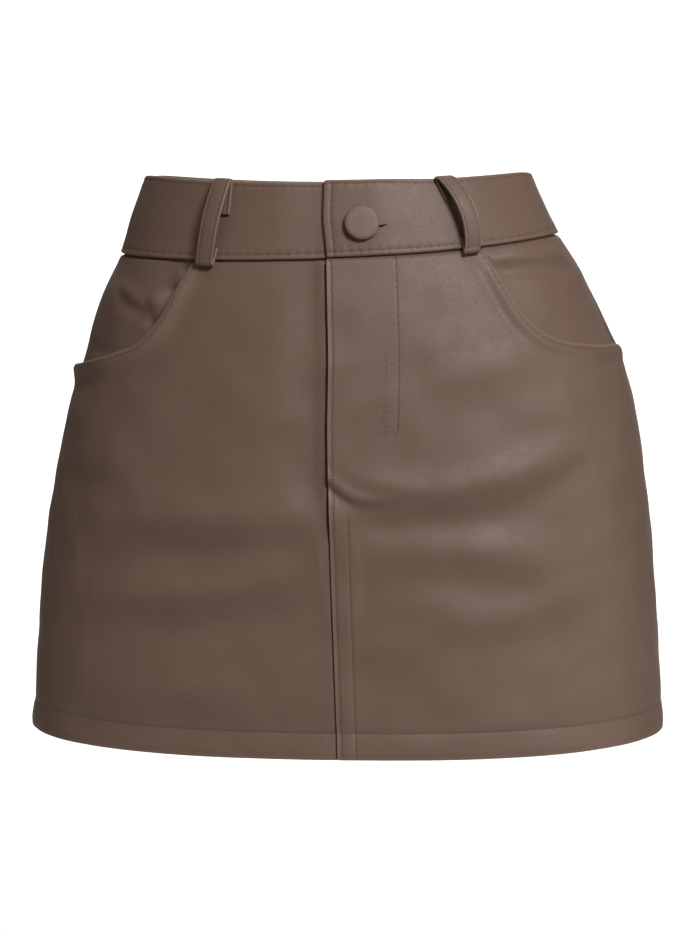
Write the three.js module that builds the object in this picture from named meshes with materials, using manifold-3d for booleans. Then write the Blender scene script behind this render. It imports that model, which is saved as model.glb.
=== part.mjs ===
// A leather mini skirt, filled out as if worn: left front lapping over the right, zip fly, curved pocket
// mouths, a two-layer waistband with a covered button, and five belt loops. Millimetres, +Z up. The front
// faces -Y and +X is the wearer's left. The origin is the centre of the waist opening, at the waistband.
import * as THREE from 'three';
import Module from 'manifold-3d';
import { mergeVertices } from 'three/addons/utils/BufferGeometryUtils.js';

// Leather thicknesses and the gaps left at seams
const panelThick = 1.5;
const facingThick = 1.2;
const bandThick = 3;
const loopThick = 2;
const tapeThick = 0.7;
const seamGap = 0.3;

// Levels, measured down the cloth from the middle of the waistband
const bandTop = 23;
const bandFoot = -20;
const hemFoot = -317;
const hemFold = hemFoot + 18;
const flyFoot = -160;

// How far each layer lies out from the skirt's surface
const bandOut = 1.2;
const bandLapLift = 1.5;
const underBandOut = -0.6;
const flyLift = 2;
const seamLift = 0.5;
const mouthLift = 0.8;
const facingDrop = 2.4;

// Fly, pocket and waistband laps, measured round the cloth from the centre front
const flyTuck = 8;
const flyFlat = 28;
const flyEnd = 40;
const flyChange = 8;
const seamFlat = 12;
const seamFade = 22;
const bandTuck = 32;
const bandLapFlat = 26;
const bandLapEnd = 54;
const underBandFlat = 8;
const underBandEnd = 24;
const mouthStart = 88;
const mouthFrom = 70;
const mouthFull = 100;
const mouthReach = 28;
const facingUnderlap = 20;
const facingDeep = 6;
const facingLevel = 44;

// Fastenings
const buttonAcross = 17.3;
const buttonRadius = 10.8;
const buttonTall = 4.6;
const buttonClear = 0.5;
const stemRadius = 1.2;
const holeStart = 14.6;
const holeEnd = 30;
const holeHalf = 1.5;
const chainAcross = 14;
const chainWide = 5;
const chainThick = 2;
const chainOut = -1.7;
const chainTop = -36;
const chainFoot = -150;
const tapeOut = -1.8;
const tapeTop = -21;
const tapeFoot = -154;

// Belt loops
const loopWide = 11;
const loopTail = 8;
const loopFoldRadius = 1.4;
const loopBulge = 6;
const loopLow = -22;
const loopHigh = 22.5;
const backLoopHigh = 19.5;

// Rings of the surface: half width, depth to the front and to the back, sideways shift of the ring, rise of
// the +X side, sideways sway of the centre front and back, their dip, and the power that squares the ring
const rings = [
  { level: 23, wide: 117.5, front: 84, back: 85, shift: -6.5, rise: 1, sway: 1.5, dip: 5.6, power: 2.2 },
  { level: 0, wide: 125.9, front: 88, back: 91, shift: -6.8, rise: 4, sway: 4.3, dip: 6.5, power: 2.26 },
  { level: -20, wide: 134.3, front: 92, back: 97, shift: -5.5, rise: 6, sway: 5, dip: 7.5, power: 2.3 },
  { level: -45, wide: 148, front: 98, back: 105, shift: -3.6, rise: 6, sway: 4.6, dip: 8, power: 2.35 },
  { level: -78, wide: 161.5, front: 103.5, back: 113, shift: -1.2, rise: 5.5, sway: 3.6, dip: 8, power: 2.4 },
  { level: -96, wide: 168.2, front: 105.5, back: 117, shift: 0.8, rise: 5, sway: 1.6, dip: 8, power: 2.42 },
  { level: -121, wide: 175, front: 108, back: 120, shift: 1.2, rise: 4, sway: 0.8, dip: 8, power: 2.45 },
  { level: -170, wide: 183.6, front: 111, back: 122, shift: 0.6, rise: 2, sway: 0.6, dip: 8, power: 2.49 },
  { level: -220, wide: 189.3, front: 113, back: 121, shift: -0.1, rise: 1, sway: 0.4, dip: 8.2, power: 2.53 },
  { level: -270, wide: 192.7, front: 115, back: 119, shift: -0.2, rise: 0, sway: 0.2, dip: 8.2, power: 2.57 },
  { level: -317, wide: 195, front: 117, back: 118, shift: -0.2, rise: 0, sway: 0.2, dip: 7.6, power: 2.6 },
];

// The lap edge and the centre-front seam below it
const lapEdge = [
  { level: 23, across: -1.5 },
  { level: -20, across: -3.5 },
  { level: -110, across: -4 },
  { level: -155, across: -2.5 },
  { level: -256, across: 2.5 },
  { level: -317, across: 5 },
];

// The curved mouth of each front pocket, from the waistband to the side seam
const pocketMouth = [
  { across: 88, level: -20.3 },
  { across: 98, level: -35.5 },
  { across: 106, level: -47.5 },
  { across: 113, level: -58 },
  { across: 121, level: -66.5 },
  { across: 130, level: -73.5 },
  { across: 142, level: -78.5 },
  { across: 158, level: -82.8 },
  { across: 182, level: -87.5 },
  { across: 230, level: -93 },
];

// The largest folds, each a swell above its line and a hollow below it
const folds = [
  { half: 'front', from: 2, fromLevel: -158, to: 162, toLevel: -143, bow: -17, reach: 12, depth: 2.4 },
  { half: 'front', from: 17, fromLevel: -198, to: 140, toLevel: -210, bow: 1, reach: 13, depth: 1.5 },
  { half: 'front', from: 41, fromLevel: -234, to: 170, toLevel: -228, bow: -9, reach: 13, depth: 1.1 },
  { half: 'front', from: 52, fromLevel: -106, to: 138, toLevel: -91, bow: -1, reach: 15, depth: 1.2 },
  { half: 'front', from: -162, fromLevel: -189, to: -8, toLevel: -182, bow: 0, reach: 13, depth: 1.8 },
  { half: 'front', from: -146, fromLevel: -234, to: -4, toLevel: -209, bow: -7, reach: 13, depth: 1.4 },
  { half: 'front', from: -190, fromLevel: -151, to: -118, toLevel: -155, bow: 0, reach: 13, depth: 1.2 },
  { half: 'back', from: -160, fromLevel: -176, to: -12, toLevel: -190, bow: -8, reach: 13, depth: 1.9 },
  { half: 'back', from: 10, fromLevel: -168, to: 156, toLevel: -182, bow: -9, reach: 13, depth: 1.7 },
  { half: 'back', from: -140, fromLevel: -236, to: -30, toLevel: -226, bow: -4, reach: 13, depth: 1.2 },
  { half: 'back', from: 34, fromLevel: -230, to: 150, toLevel: -242, bow: -5, reach: 13, depth: 1.3 },
  { half: 'back', from: 96, fromLevel: -104, to: 178, toLevel: -92, bow: -4, reach: 14, depth: 1.1 },
];

// Puckers of the pocket facings, seen through the mouths
const puckers = [
  { half: 'front', from: -92, fromLevel: -37, to: -132, toLevel: -39, bow: 0, reach: 6, depth: 1.1 },
  { half: 'front', from: -104, fromLevel: -62, to: -168, toLevel: -34, bow: 0, reach: 8, depth: 1.4 },
  { half: 'front', from: 84, fromLevel: -39, to: 160, toLevel: -43, bow: 2, reach: 7, depth: 1.6 },
];

const clamp = (value, low, high) => Math.min(high, Math.max(low, value));

// A value that eases from 0 at the low end to 1 at the high end
function ease(low, high, value) {
  const t = clamp((value - low) / (high - low), 0, 1);
  return t * t * (3 - 2 * t);
}

// One column of a table at a place along its key, through smooth joins
function read(table, key, name, place) {
  const rising = table[0][key] < table[table.length - 1][key];
  const sign = rising ? 1 : -1;
  const spot = clamp(sign * place, sign * table[0][key], sign * table[table.length - 1][key]);
  let low = 0;
  while (low < table.length - 2 && sign * table[low + 1][key] <= spot) {
    low += 1;
  }
  const slope = (index) => {
    const before = table[Math.max(index - 1, 0)];
    const after = table[Math.min(index + 1, table.length - 1)];
    return (after[name] - before[name]) / (sign * (after[key] - before[key]));
  };
  const width = sign * (table[low + 1][key] - table[low][key]);
  const t = (spot - sign * table[low][key]) / width;
  const start = table[low][name];
  const end = table[low + 1][name];
  const fromStart = start * (2 * t ** 3 - 3 * t ** 2 + 1) + slope(low) * width * (t ** 3 - 2 * t ** 2 + t);
  const fromEnd = end * (3 * t ** 2 - 2 * t ** 3) + slope(low + 1) * width * (t ** 3 - t ** 2);
  return fromStart + fromEnd;
}

// A quarter of the ring at a level, as places with their distance from the centre line
const quarterSteps = 120;
const quarters = new Map();
function quarter(half, level) {
  const name = `${half} ${level.toFixed(4)}`;
  if (!quarters.has(name)) {
    const wide = read(rings, 'level', 'wide', level);
    const deep = read(rings, 'level', half, level);
    const power = 2 / read(rings, 'level', 'power', level);
    const steps = [{ x: 0, y: deep, length: 0 }];
    for (let step = 1; step <= quarterSteps; step += 1) {
      const angle = (step / quarterSteps) * (Math.PI / 2);
      const x = wide * Math.sin(angle) ** power;
      const y = step === quarterSteps ? 0 : deep * Math.cos(angle) ** power;
      const last = steps[step - 1];
      steps.push({ x, y, length: last.length + Math.hypot(x - last.x, y - last.y) });
    }
    quarters.set(name, { steps, deep, wide, length: steps[quarterSteps].length });
  }
  return quarters.get(name);
}

const sideAcross = (half, level) => quarter(half, level).length;

// A point of the smooth surface: across is measured round the cloth from the centre line of its half
function smoothPoint(half, across, level) {
  const ring = quarter(half, level);
  const target = clamp(Math.abs(across), 0, ring.length);
  let low = 0;
  let high = quarterSteps;
  while (high - low > 1) {
    const middle = (low + high) >> 1;
    if (ring.steps[middle].length <= target) {
      low = middle;
    } else {
      high = middle;
    }
  }
  const start = ring.steps[low];
  const end = ring.steps[high];
  const t = (target - start.length) / (end.length - start.length);
  const x = Math.sign(across) * (start.x + t * (end.x - start.x));
  const y = start.y + t * (end.y - start.y);
  const rise = read(rings, 'level', 'rise', level) * (x / ring.wide);
  const dip = read(rings, 'level', 'dip', level) * (y / ring.deep) ** 2;
  const sway = read(rings, 'level', 'sway', level) * (1 - (x / ring.wide) ** 2);
  const shift = read(rings, 'level', 'shift', level) + sway;
  return new THREE.Vector3(x + shift, half === 'front' ? -y : y, level + rise - dip);
}

// The outward direction of the smooth surface
const normals = new Map();
function outward(half, across, level) {
  const name = `${half} ${across.toFixed(3)} ${level.toFixed(3)}`;
  if (!normals.has(name)) {
    const reach = 2;
    const side = sideAcross(half, level);
    const inside = clamp(across, -side + reach, side - reach);
    const round = smoothPoint(half, inside + reach, level).sub(smoothPoint(half, inside - reach, level));
    const up = smoothPoint(half, inside, level + reach).sub(smoothPoint(half, inside, level - reach));
    const normal = half === 'front' ? round.cross(up) : up.cross(round);
    if (Math.abs(across) > side - 3 * reach) {
      normal.lerp(new THREE.Vector3(Math.sign(across) * normal.length(), 0, normal.z), 0.5);
    }
    normals.set(name, normal.normalize());
  }
  return normals.get(name);
}

// The depth of a list of folds at a spot
function foldDepth(list, half, across, level) {
  let depth = 0;
  for (const fold of list.filter((each) => each.half === half)) {
    const along = (across - fold.from) / (fold.to - fold.from);
    if (along > 0 && along < 1) {
      const bow = fold.bow * 4 * along * (1 - along);
      const line = fold.fromLevel + along * (fold.toLevel - fold.fromLevel) + bow;
      const away = (level - line) / fold.reach;
      const taper = Math.sin(Math.PI * along) ** 0.7;
      depth += fold.depth * taper * away * Math.exp(0.5 - away * away / 2);
    }
  }
  return depth;
}

// A point of the folded surface, moved out by a distance
function place(half, across, level, out) {
  const depth = foldDepth(folds, half, across, level);
  return smoothPoint(half, across, level).addScaledVector(outward(half, across, level), depth + out);
}

// A closed body from its corner points and faces, with the faces turned outwards
function body(positions, faces) {
  const corner = (index) => new THREE.Vector3().fromArray(positions, 3 * index);
  let volume = 0;
  for (let face = 0; face < faces.length; face += 3) {
    volume += corner(faces[face]).dot(corner(faces[face + 1]).cross(corner(faces[face + 2])));
  }
  const geometry = new THREE.BufferGeometry();
  geometry.setAttribute('position', new THREE.Float32BufferAttribute(positions, 3));
  geometry.setIndex(volume < 0 ? [...faces].reverse() : faces);
  geometry.computeVertexNormals();
  return geometry;
}

// A wall over a grid: point(column, row, layer) gives the outer layer's points (0) and the inner layer's (1)
function wall(columns, rows, point) {
  const positions = [];
  for (const layer of [0, 1]) {
    for (let row = 0; row <= rows; row += 1) {
      for (let column = 0; column <= columns; column += 1) {
        positions.push(...point(column, row, layer).toArray());
      }
    }
  }
  const at = (column, row, layer) => (layer * (rows + 1) + row) * (columns + 1) + column;
  const faces = [];
  const quad = (a, b, c, d) => faces.push(a, b, c, a, c, d);
  for (let row = 0; row < rows; row += 1) {
    for (let column = 0; column < columns; column += 1) {
      quad(at(column, row, 0), at(column, row + 1, 0), at(column + 1, row + 1, 0), at(column + 1, row, 0));
      quad(at(column, row, 1), at(column + 1, row, 1), at(column + 1, row + 1, 1), at(column, row + 1, 1));
    }
  }
  for (let column = 0; column < columns; column += 1) {
    quad(at(column, 0, 0), at(column + 1, 0, 0), at(column + 1, 0, 1), at(column, 0, 1));
    quad(at(column, rows, 0), at(column, rows, 1), at(column + 1, rows, 1), at(column + 1, rows, 0));
  }
  for (let row = 0; row < rows; row += 1) {
    quad(at(0, row, 0), at(0, row, 1), at(0, row + 1, 1), at(0, row + 1, 0));
    quad(at(columns, row, 0), at(columns, row + 1, 0), at(columns, row + 1, 1), at(columns, row, 1));
  }
  return body(positions, faces);
}

const skirt = new THREE.Group();
const leather = { color: 0x75665a, roughness: 0.5, metalness: 0 };
const finishes = {
  leather: new THREE.MeshStandardMaterial(leather),
  tape: new THREE.MeshStandardMaterial({ color: 0x5a4a40, roughness: 0.9, metalness: 0 }),
  zip: new THREE.MeshStandardMaterial({ color: 0x6b5d4b, roughness: 0.4, metalness: 1 }),
};

function add(name, geometry, finish = 'leather') {
  const mesh = new THREE.Mesh(geometry, finishes[finish]);
  mesh.name = name;
  skirt.add(mesh);
  return mesh;
}

const edgeAt = (level) => read(lapEdge, 'level', 'across', level);
const mouthLevel = (across) => read(pocketMouth, 'across', 'level', Math.abs(across));

// Front columns: some stand at a fixed distance from the lap, the others share out the way to the side seam
const lapColumns = [0, 4, 14, flyFlat, 34, flyEnd];
const frontColumns = [];
for (const distance of lapColumns) {
  frontColumns.push({ fixed: distance, share: 0 });
}
const panelTop = bandFoot - seamGap;
const mouthShare = (mouthStart - flyEnd) / (sideAcross('front', panelTop) - flyEnd);
const plainSteps = 3;
for (let step = 1; step <= plainSteps; step += 1) {
  frontColumns.push({ fixed: flyEnd, share: mouthShare * (step / plainSteps) });
}
const mouthSteps = 11;
for (let step = 1; step <= mouthSteps; step += 1) {
  const share = mouthShare + (1 - mouthShare) * (step / mouthSteps) ** 1.4;
  frontColumns.push({ fixed: flyEnd, share });
}

// Where a front column stands at a level, measured from the centre front; side is 1 at +X and -1 at -X
function frontAcross(column, side, level, edge) {
  const { fixed, share } = frontColumns[column];
  const seam = sideAcross('front', level) - seamGap / 2;
  const near = fixed < flyEnd ? edge + (fixed / flyEnd) * (flyEnd - edge) : flyEnd;
  return side * (near + share * (seam - flyEnd));
}

// The level where a front column meets the waistband seam or the pocket mouth
function frontTop(column, side) {
  const above = (level) => level > mouthLevel(frontAcross(column, side, level, 0));
  if (frontColumns[column].share <= mouthShare) {
    return panelTop;
  }
  let high = panelTop;
  let low = pocketMouth[pocketMouth.length - 1].level;
  while (high - low > 1e-6) {
    const middle = (low + high) / 2;
    if (above(middle)) {
      high = middle;
    } else {
      low = middle;
    }
  }
  return high;
}

// Rows down a panel: evenly to the hem fold, then the hem of double thickness
const panelRows = 27;
function rowLevel(row, rows, top) {
  if (row === rows) {
    return hemFoot;
  }
  if (row === rows - 1) {
    return hemFold - 0.5;
  }
  return top + (row / (rows - 2)) * (hemFold + 0.5 - top);
}
const panelDepth = (level) => (level < hemFold ? 2 * panelThick : panelThick);

// How far the left front stands out over the fly, over the seam below it and along the pocket mouth
function leftFrontOut(across, level) {
  const fly = flyLift * (1 - ease(flyFlat, flyEnd, across));
  const seam = seamLift * (1 - ease(seamFlat, seamFade, across));
  const upper = ease(flyFoot - 4 * flyChange, flyFoot - 1.5 * flyChange, level);
  return fly * upper + seam * (1 - upper);
}
function mouthOut(across, level) {
  const below = mouthLevel(across) - level;
  return mouthLift * (1 - ease(0, mouthReach, below)) * ease(mouthFrom, mouthFull, Math.abs(across));
}

// The front panels: the right front passes under the fly lap and meets the left front at the seam below
function frontPanel(side) {
  const columns = frontColumns.length - 1;
  return wall(columns, panelRows, (column, row, layer) => {
    const level = rowLevel(row, panelRows, frontTop(column, side));
    const upper = ease(flyFoot - flyChange, flyFoot, level);
    const tuck = flyTuck * upper - seamGap * (1 - upper);
    const edge = side > 0 ? edgeAt(level) : -(edgeAt(level) + tuck);
    const across = frontAcross(column, side, level, edge);
    const lift = side > 0 ? leftFrontOut(across, level) : 0;
    const out = lift + mouthOut(across, level) - layer * panelDepth(level);
    return place('front', across, level, out);
  });
}
add('front_left', frontPanel(1));
add('front_right', frontPanel(-1));

// The pocket facings: behind the mouths, from the waistband and the side seam to under the front panels
const facingFirst = frontColumns.length - 1 - mouthSteps - 1;
const facingRows = 9;
function facingOut(across, level) {
  const above = level - mouthLevel(across);
  const drop = facingDrop * (1 - ease(facingDeep, facingLevel, above));
  return foldDepth(puckers, 'front', across, level) * ease(-2 * facingDeep, 0, above) - drop;
}
function pocketFacing(side) {
  const columns = frontColumns.length - 1 - facingFirst;
  return wall(columns, facingRows, (column, row, layer) => {
    const foot = frontTop(column + facingFirst, side) - facingUnderlap;
    const level = panelTop + (row / facingRows) * (foot - panelTop);
    const across = frontAcross(column + facingFirst, side, level, 0);
    return place('front', across, level, facingOut(across, level) - layer * facingThick);
  });
}
add('pocket_facing_left', pocketFacing(1));
add('pocket_facing_right', pocketFacing(-1));

// The back panels, from the centre-back seam to the side seams
const backColumns = 14;
const backRows = 22;
function backPanel(side) {
  return wall(backColumns, backRows, (column, row, layer) => {
    const level = rowLevel(row, backRows, panelTop);
    const seam = sideAcross('back', level) - seamGap / 2;
    const across = side * (seamGap / 2 + (column / backColumns) * (seam - seamGap / 2));
    return place('back', across, level, -layer * panelDepth(level));
  });
}
add('back_left', backPanel(1));
add('back_right', backPanel(-1));

// A spot on the waistband, by its distance round from the centre front
function bandSpot(side, round, level) {
  const front = sideAcross('front', level);
  if (round <= front) {
    return { half: 'front', across: side * round };
  }
  return { half: 'back', across: side * (sideAcross('back', level) - (round - front)) };
}

// The waistband halves: the left one laps over the right one at the front, and they meet at the centre back
const bandLevels = [bandTop, bandTop - 1, bandTop - 7, 4, -4, -12, bandFoot];
const bandEdgeIn = 0.8;
const bandColumns = 40;
const leftBandOut = (round) => bandOut + bandLapLift * (1 - ease(bandLapFlat, bandLapEnd, round));
const underBandRise = bandOut - underBandOut;
const rightBandOut = (round) => underBandOut + underBandRise * ease(underBandFlat, underBandEnd, round);
function waistband(side) {
  const rows = bandLevels.length - 1;
  return wall(bandColumns, rows, (column, row, layer) => {
    const level = bandLevels[row];
    const start = side > 0 ? edgeAt(level) : -bandTuck;
    const whole = sideAcross('front', level) + sideAcross('back', level) - seamGap / 2;
    const share = (column / bandColumns) ** 1.15;
    const round = start + share * (whole - start);
    const out = side > 0 ? leftBandOut(round) : rightBandOut(round);
    const softened = row === 0 ? bandEdgeIn : 0;
    const spot = bandSpot(side, round, level);
    const away = layer === 0 ? out - softened : out - bandThick + softened;
    return place(spot.half, spot.across, level, away);
  });
}

// A straight frame at a spot: its middle, the way round the cloth, the way up and the way out
function frameAt(half, across, level, out) {
  const middle = place(half, across, level, out);
  const normal = outward(half, across, level);
  const round = new THREE.Vector3(-normal.y, normal.x, 0).normalize();
  const up = new THREE.Vector3().crossVectors(normal, round);
  return new THREE.Matrix4().makeBasis(round, up, normal).setPosition(middle);
}

const wasm = await Module();
wasm.setup();
function solidOf(geometry) {
  const bare = geometry.clone();
  bare.deleteAttribute('normal');
  bare.deleteAttribute('uv');
  const merged = mergeVertices(bare, 1e-4);
  const corners = new Float32Array(merged.attributes.position.array);
  const triVerts = new Uint32Array(merged.index.array);
  return new wasm.Manifold(new wasm.Mesh({ numProp: 3, vertProperties: corners, triVerts }));
}

function geometryOf(solid) {
  const mesh = solid.getMesh();
  const geometry = new THREE.BufferGeometry();
  geometry.setAttribute('position', new THREE.Float32BufferAttribute(mesh.vertProperties, 3));
  geometry.setIndex([...mesh.triVerts]);
  geometry.computeVertexNormals();
  return geometry;
}

// The buttonhole is a slot with round ends, cut through the lapping half
const holeFrame = frameAt('front', buttonAcross, 0, 0);
const slot = new THREE.Shape();
slot.moveTo(holeStart - buttonAcross, -holeHalf);
slot.lineTo(holeEnd - buttonAcross, -holeHalf);
slot.absarc(holeEnd - buttonAcross, 0, holeHalf, -Math.PI / 2, Math.PI / 2, false);
slot.lineTo(holeStart - buttonAcross, holeHalf);
slot.absarc(holeStart - buttonAcross, 0, holeHalf, Math.PI / 2, 1.5 * Math.PI, false);
const holeDepth = 12;
const cutter = new THREE.ExtrudeGeometry(slot, { depth: holeDepth, bevelEnabled: false, curveSegments: 6 });
cutter.translate(0, 0, -holeDepth / 2);
cutter.applyMatrix4(holeFrame);
add('waistband_left', geometryOf(solidOf(waistband(1)).subtract(solidOf(cutter))));
add('waistband_right', waistband(-1));

// The covered button: a flat disc with a rolled rim on a short stem, turned about its axis
function buttonProfile() {
  const stemFoot = underBandOut + seamGap;
  const under = leftBandOut(buttonAcross) + buttonClear;
  const face = under + buttonTall;
  const rim = 1.8;
  const points = [
    new THREE.Vector2(0, stemFoot),
    new THREE.Vector2(stemRadius, stemFoot),
    new THREE.Vector2(stemRadius, under),
    new THREE.Vector2(buttonRadius - rim, under),
  ];
  const rimSteps = 4;
  for (let step = 1; step <= rimSteps; step += 1) {
    const angle = (step / rimSteps) * (Math.PI / 2) - Math.PI / 2;
    const out = new THREE.Vector2(Math.cos(angle) * rim, Math.sin(angle) * rim);
    points.push(new THREE.Vector2(buttonRadius - rim + out.x, under + rim + out.y));
  }
  for (let step = 1; step <= rimSteps; step += 1) {
    const angle = (step / rimSteps) * (Math.PI / 2);
    const out = new THREE.Vector2(Math.cos(angle) * rim, Math.sin(angle) * rim);
    points.push(new THREE.Vector2(buttonRadius - rim + out.x, face - 0.4 - rim + out.y));
  }
  points.push(new THREE.Vector2(0, face));
  return points;
}
const buttonShape = new THREE.LatheGeometry(buttonProfile(), 30);
buttonShape.rotateX(Math.PI / 2);
const button = add('button', geometryOf(solidOf(buttonShape)));
button.applyMatrix4(holeFrame);

// A belt loop: a folded strap that bulges off the waistband, with a short tail turned under at each end
const loopFoldSteps = 5;
const loopRunSteps = 10;
function loopPath(top) {
  const seat = bandOut + seamGap + loopThick / 2;
  const crest = seat + 2 * loopFoldRadius;
  const path = [{ out: seat, level: top - loopTail }];
  for (let step = 0; step <= loopFoldSteps; step += 1) {
    const angle = Math.PI * (1 - step / loopFoldSteps);
    const out = seat + loopFoldRadius * (1 + Math.cos(angle));
    path.push({ out, level: top + loopFoldRadius * Math.sin(angle) });
  }
  for (let step = 1; step < loopRunSteps; step += 1) {
    const share = step / loopRunSteps;
    const out = crest + loopBulge * Math.sin(Math.PI * share) ** 0.8;
    path.push({ out, level: top + share * (loopLow - top) });
  }
  for (let step = 0; step <= loopFoldSteps; step += 1) {
    const angle = Math.PI * (step / loopFoldSteps);
    const out = seat + loopFoldRadius * (1 + Math.cos(angle));
    path.push({ out, level: loopLow - loopFoldRadius * Math.sin(angle) });
  }
  path.push({ out: seat, level: loopLow + loopTail });
  return path;
}

function beltLoop(half, highAcross, lowAcross, top) {
  const path = loopPath(top);
  return wall(2, path.length - 1, (column, row, layer) => {
    const before = path[Math.max(row - 1, 0)];
    const after = path[Math.min(row + 1, path.length - 1)];
    const run = new THREE.Vector2(after.out - before.out, after.level - before.level).normalize();
    const shift = (layer === 0 ? 0.5 : -0.5) * loopThick;
    const level = path[row].level + shift * run.x;
    const lean = (top - path[row].level) / (top - loopLow);
    const middle = highAcross + lean * (lowAcross - highAcross);
    const across = middle + (column / 2 - 0.5) * loopWide;
    return place(half, across, level, path[row].out - shift * run.y);
  });
}
const beltLoops = [
  { name: 'belt_loop_front_left', half: 'front', high: 73.5, low: 84.5, top: loopHigh },
  { name: 'belt_loop_front_right', half: 'front', high: -59.5, low: -76, top: loopHigh },
  { name: 'belt_loop_side_left', half: 'back', high: 106, low: 111, top: backLoopHigh },
  { name: 'belt_loop_side_right', half: 'back', high: -106, low: -111, top: backLoopHigh },
  { name: 'belt_loop_back', half: 'back', high: 0, low: 0, top: backLoopHigh },
];
for (const { name, half, high, low, top } of beltLoops) {
  add(name, beltLoop(half, high, low, top));
}

// The zip behind the fly: two tapes, the closed chain, the slider at its head and the hanging pull tab
function strip(from, to, top, foot, out, thick, rows) {
  return wall(2, rows, (column, row, layer) => {
    const across = from + (column / 2) * (to - from);
    const level = top + (row / rows) * (foot - top);
    return place('front', across, level, out - layer * thick);
  });
}
const chainLeft = chainAcross - chainWide / 2;
const chainRight = chainAcross + chainWide / 2;
const zipRows = 12;
const rightTapeFrom = -12;
const leftTapeTo = 38;
const rightTape = strip(rightTapeFrom, chainLeft - seamGap, tapeTop, tapeFoot, tapeOut, tapeThick, zipRows);
const leftTape = strip(chainRight + seamGap, leftTapeTo, tapeTop, tapeFoot, tapeOut, tapeThick, zipRows);
add('zip_tape_right', rightTape, 'tape');
add('zip_tape_left', leftTape, 'tape');
add('zip_chain', strip(chainLeft, chainRight, chainTop, chainFoot, chainOut, chainThick, zipRows), 'zip');

const sliderWide = chainWide - 0.4;
const sliderThick = 4;
const sliderTop = -24;
const sliderOut = -0.6;
const sliderFoot = chainTop + seamGap;
const sliderFrom = chainAcross - sliderWide / 2;
const sliderTo = chainAcross + sliderWide / 2;
add('zip_slider', strip(sliderFrom, sliderTo, sliderTop, sliderFoot, sliderOut, sliderThick, 3), 'zip');

const tabWide = 4;
const tabThick = 0.7;
const tabTop = sliderFoot - seamGap;
const tabFoot = tabTop - 22;
const tabFrom = chainAcross - tabWide / 2;
add('zip_pull', strip(tabFrom, tabFrom + tabWide, tabTop, tabFoot, sliderOut, tabThick, 4), 'zip');

export default skirt;
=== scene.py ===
import math

import bmesh
import bpy
import numpy as np
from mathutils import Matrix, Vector


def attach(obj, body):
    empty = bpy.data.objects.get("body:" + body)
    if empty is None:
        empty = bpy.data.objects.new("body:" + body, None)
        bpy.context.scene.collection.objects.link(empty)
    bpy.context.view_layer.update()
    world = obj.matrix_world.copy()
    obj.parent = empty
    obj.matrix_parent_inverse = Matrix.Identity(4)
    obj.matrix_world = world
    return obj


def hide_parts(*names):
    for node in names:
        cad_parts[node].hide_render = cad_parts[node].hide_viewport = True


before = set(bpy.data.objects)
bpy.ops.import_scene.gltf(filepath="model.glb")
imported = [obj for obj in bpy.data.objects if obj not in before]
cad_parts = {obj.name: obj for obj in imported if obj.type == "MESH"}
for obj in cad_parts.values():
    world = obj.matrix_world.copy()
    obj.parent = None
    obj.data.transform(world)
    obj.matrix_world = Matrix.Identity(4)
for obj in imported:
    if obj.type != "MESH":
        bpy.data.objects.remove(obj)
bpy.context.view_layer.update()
print("frame loaded:", len(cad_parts), "solids")

# Cloth places are in millimetres: around runs over the cloth from the centre front, + to the wearer's left,
# and level runs down it from the middle of the waistband. Meshes are made in metres.
metre = 0.001

# The camera comes first: at waist height, a little to the right, looking slightly down
camera = {"distance": 2.4, "yaw": math.radians(5.5), "height": 0.022, "aimX": 0.001, "aimZ": -0.1587,
          "metresPerPixel": 0.00062, "imageTall": 933, "sensor": 36.0}


def makeCamera():
    data = bpy.data.cameras.new("camera")
    eye = bpy.data.objects.new("camera", data)
    bpy.context.scene.collection.objects.link(eye)
    aim = Vector((camera["aimX"], 0, camera["aimZ"]))
    reach = camera["distance"]
    eye.location = (aim.x + reach * math.sin(camera["yaw"]),
                    -reach * math.cos(camera["yaw"]), camera["height"])
    look = aim - eye.location
    eye.rotation_euler = look.to_track_quat("-Z", "Y").to_euler()
    data.sensor_fit = "VERTICAL"
    data.sensor_height = camera["sensor"]
    data.lens = look.length / (camera["metresPerPixel"] * camera["imageTall"]) * camera["sensor"]
    bpy.context.scene.camera = eye


makeCamera()

# The skirt's surface: rings down the body
ringColumns = ("level", "halfWidth", "front", "back", "shift", "rise", "sway", "dip", "square")
rings = (
    (23, 117.5, 84, 85, -6.5, 1, 1.5, 5.6, 2.2),
    (0, 125.9, 88, 91, -6.8, 4, 4.3, 6.5, 2.26),
    (-20, 134.3, 92, 97, -5.5, 6, 5, 7.5, 2.3),
    (-45, 148, 98, 105, -3.6, 6, 4.6, 8, 2.35),
    (-78, 161.5, 103.5, 113, -1.2, 5.5, 3.6, 8, 2.4),
    (-96, 168.2, 105.5, 117, 0.8, 5, 1.6, 8, 2.42),
    (-121, 175, 108, 120, 1.2, 4, 0.8, 8, 2.45),
    (-170, 183.6, 111, 122, 0.6, 2, 0.6, 8, 2.49),
    (-220, 189.3, 113, 121, -0.1, 1, 0.4, 8.2, 2.53),
    (-270, 192.7, 115, 119, -0.2, 0, 0.2, 8.2, 2.57),
    (-317, 195, 117, 118, -0.2, 0, 0.2, 7.6, 2.6),
)
lapColumns = ("level", "across")
lapEdge = ((23, -1.5), (-20, -3.5), (-110, -4), (-155, -2.5), (-256, 2.5), (-317, 5))
mouthColumns = ("across", "level")
pocketMouth = ((88, -20.3), (98, -35.5), (106, -47.5), (113, -58), (121, -66.5), (130, -73.5), (142, -78.5),
               (158, -82.8), (182, -87.5), (230, -93))

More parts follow.
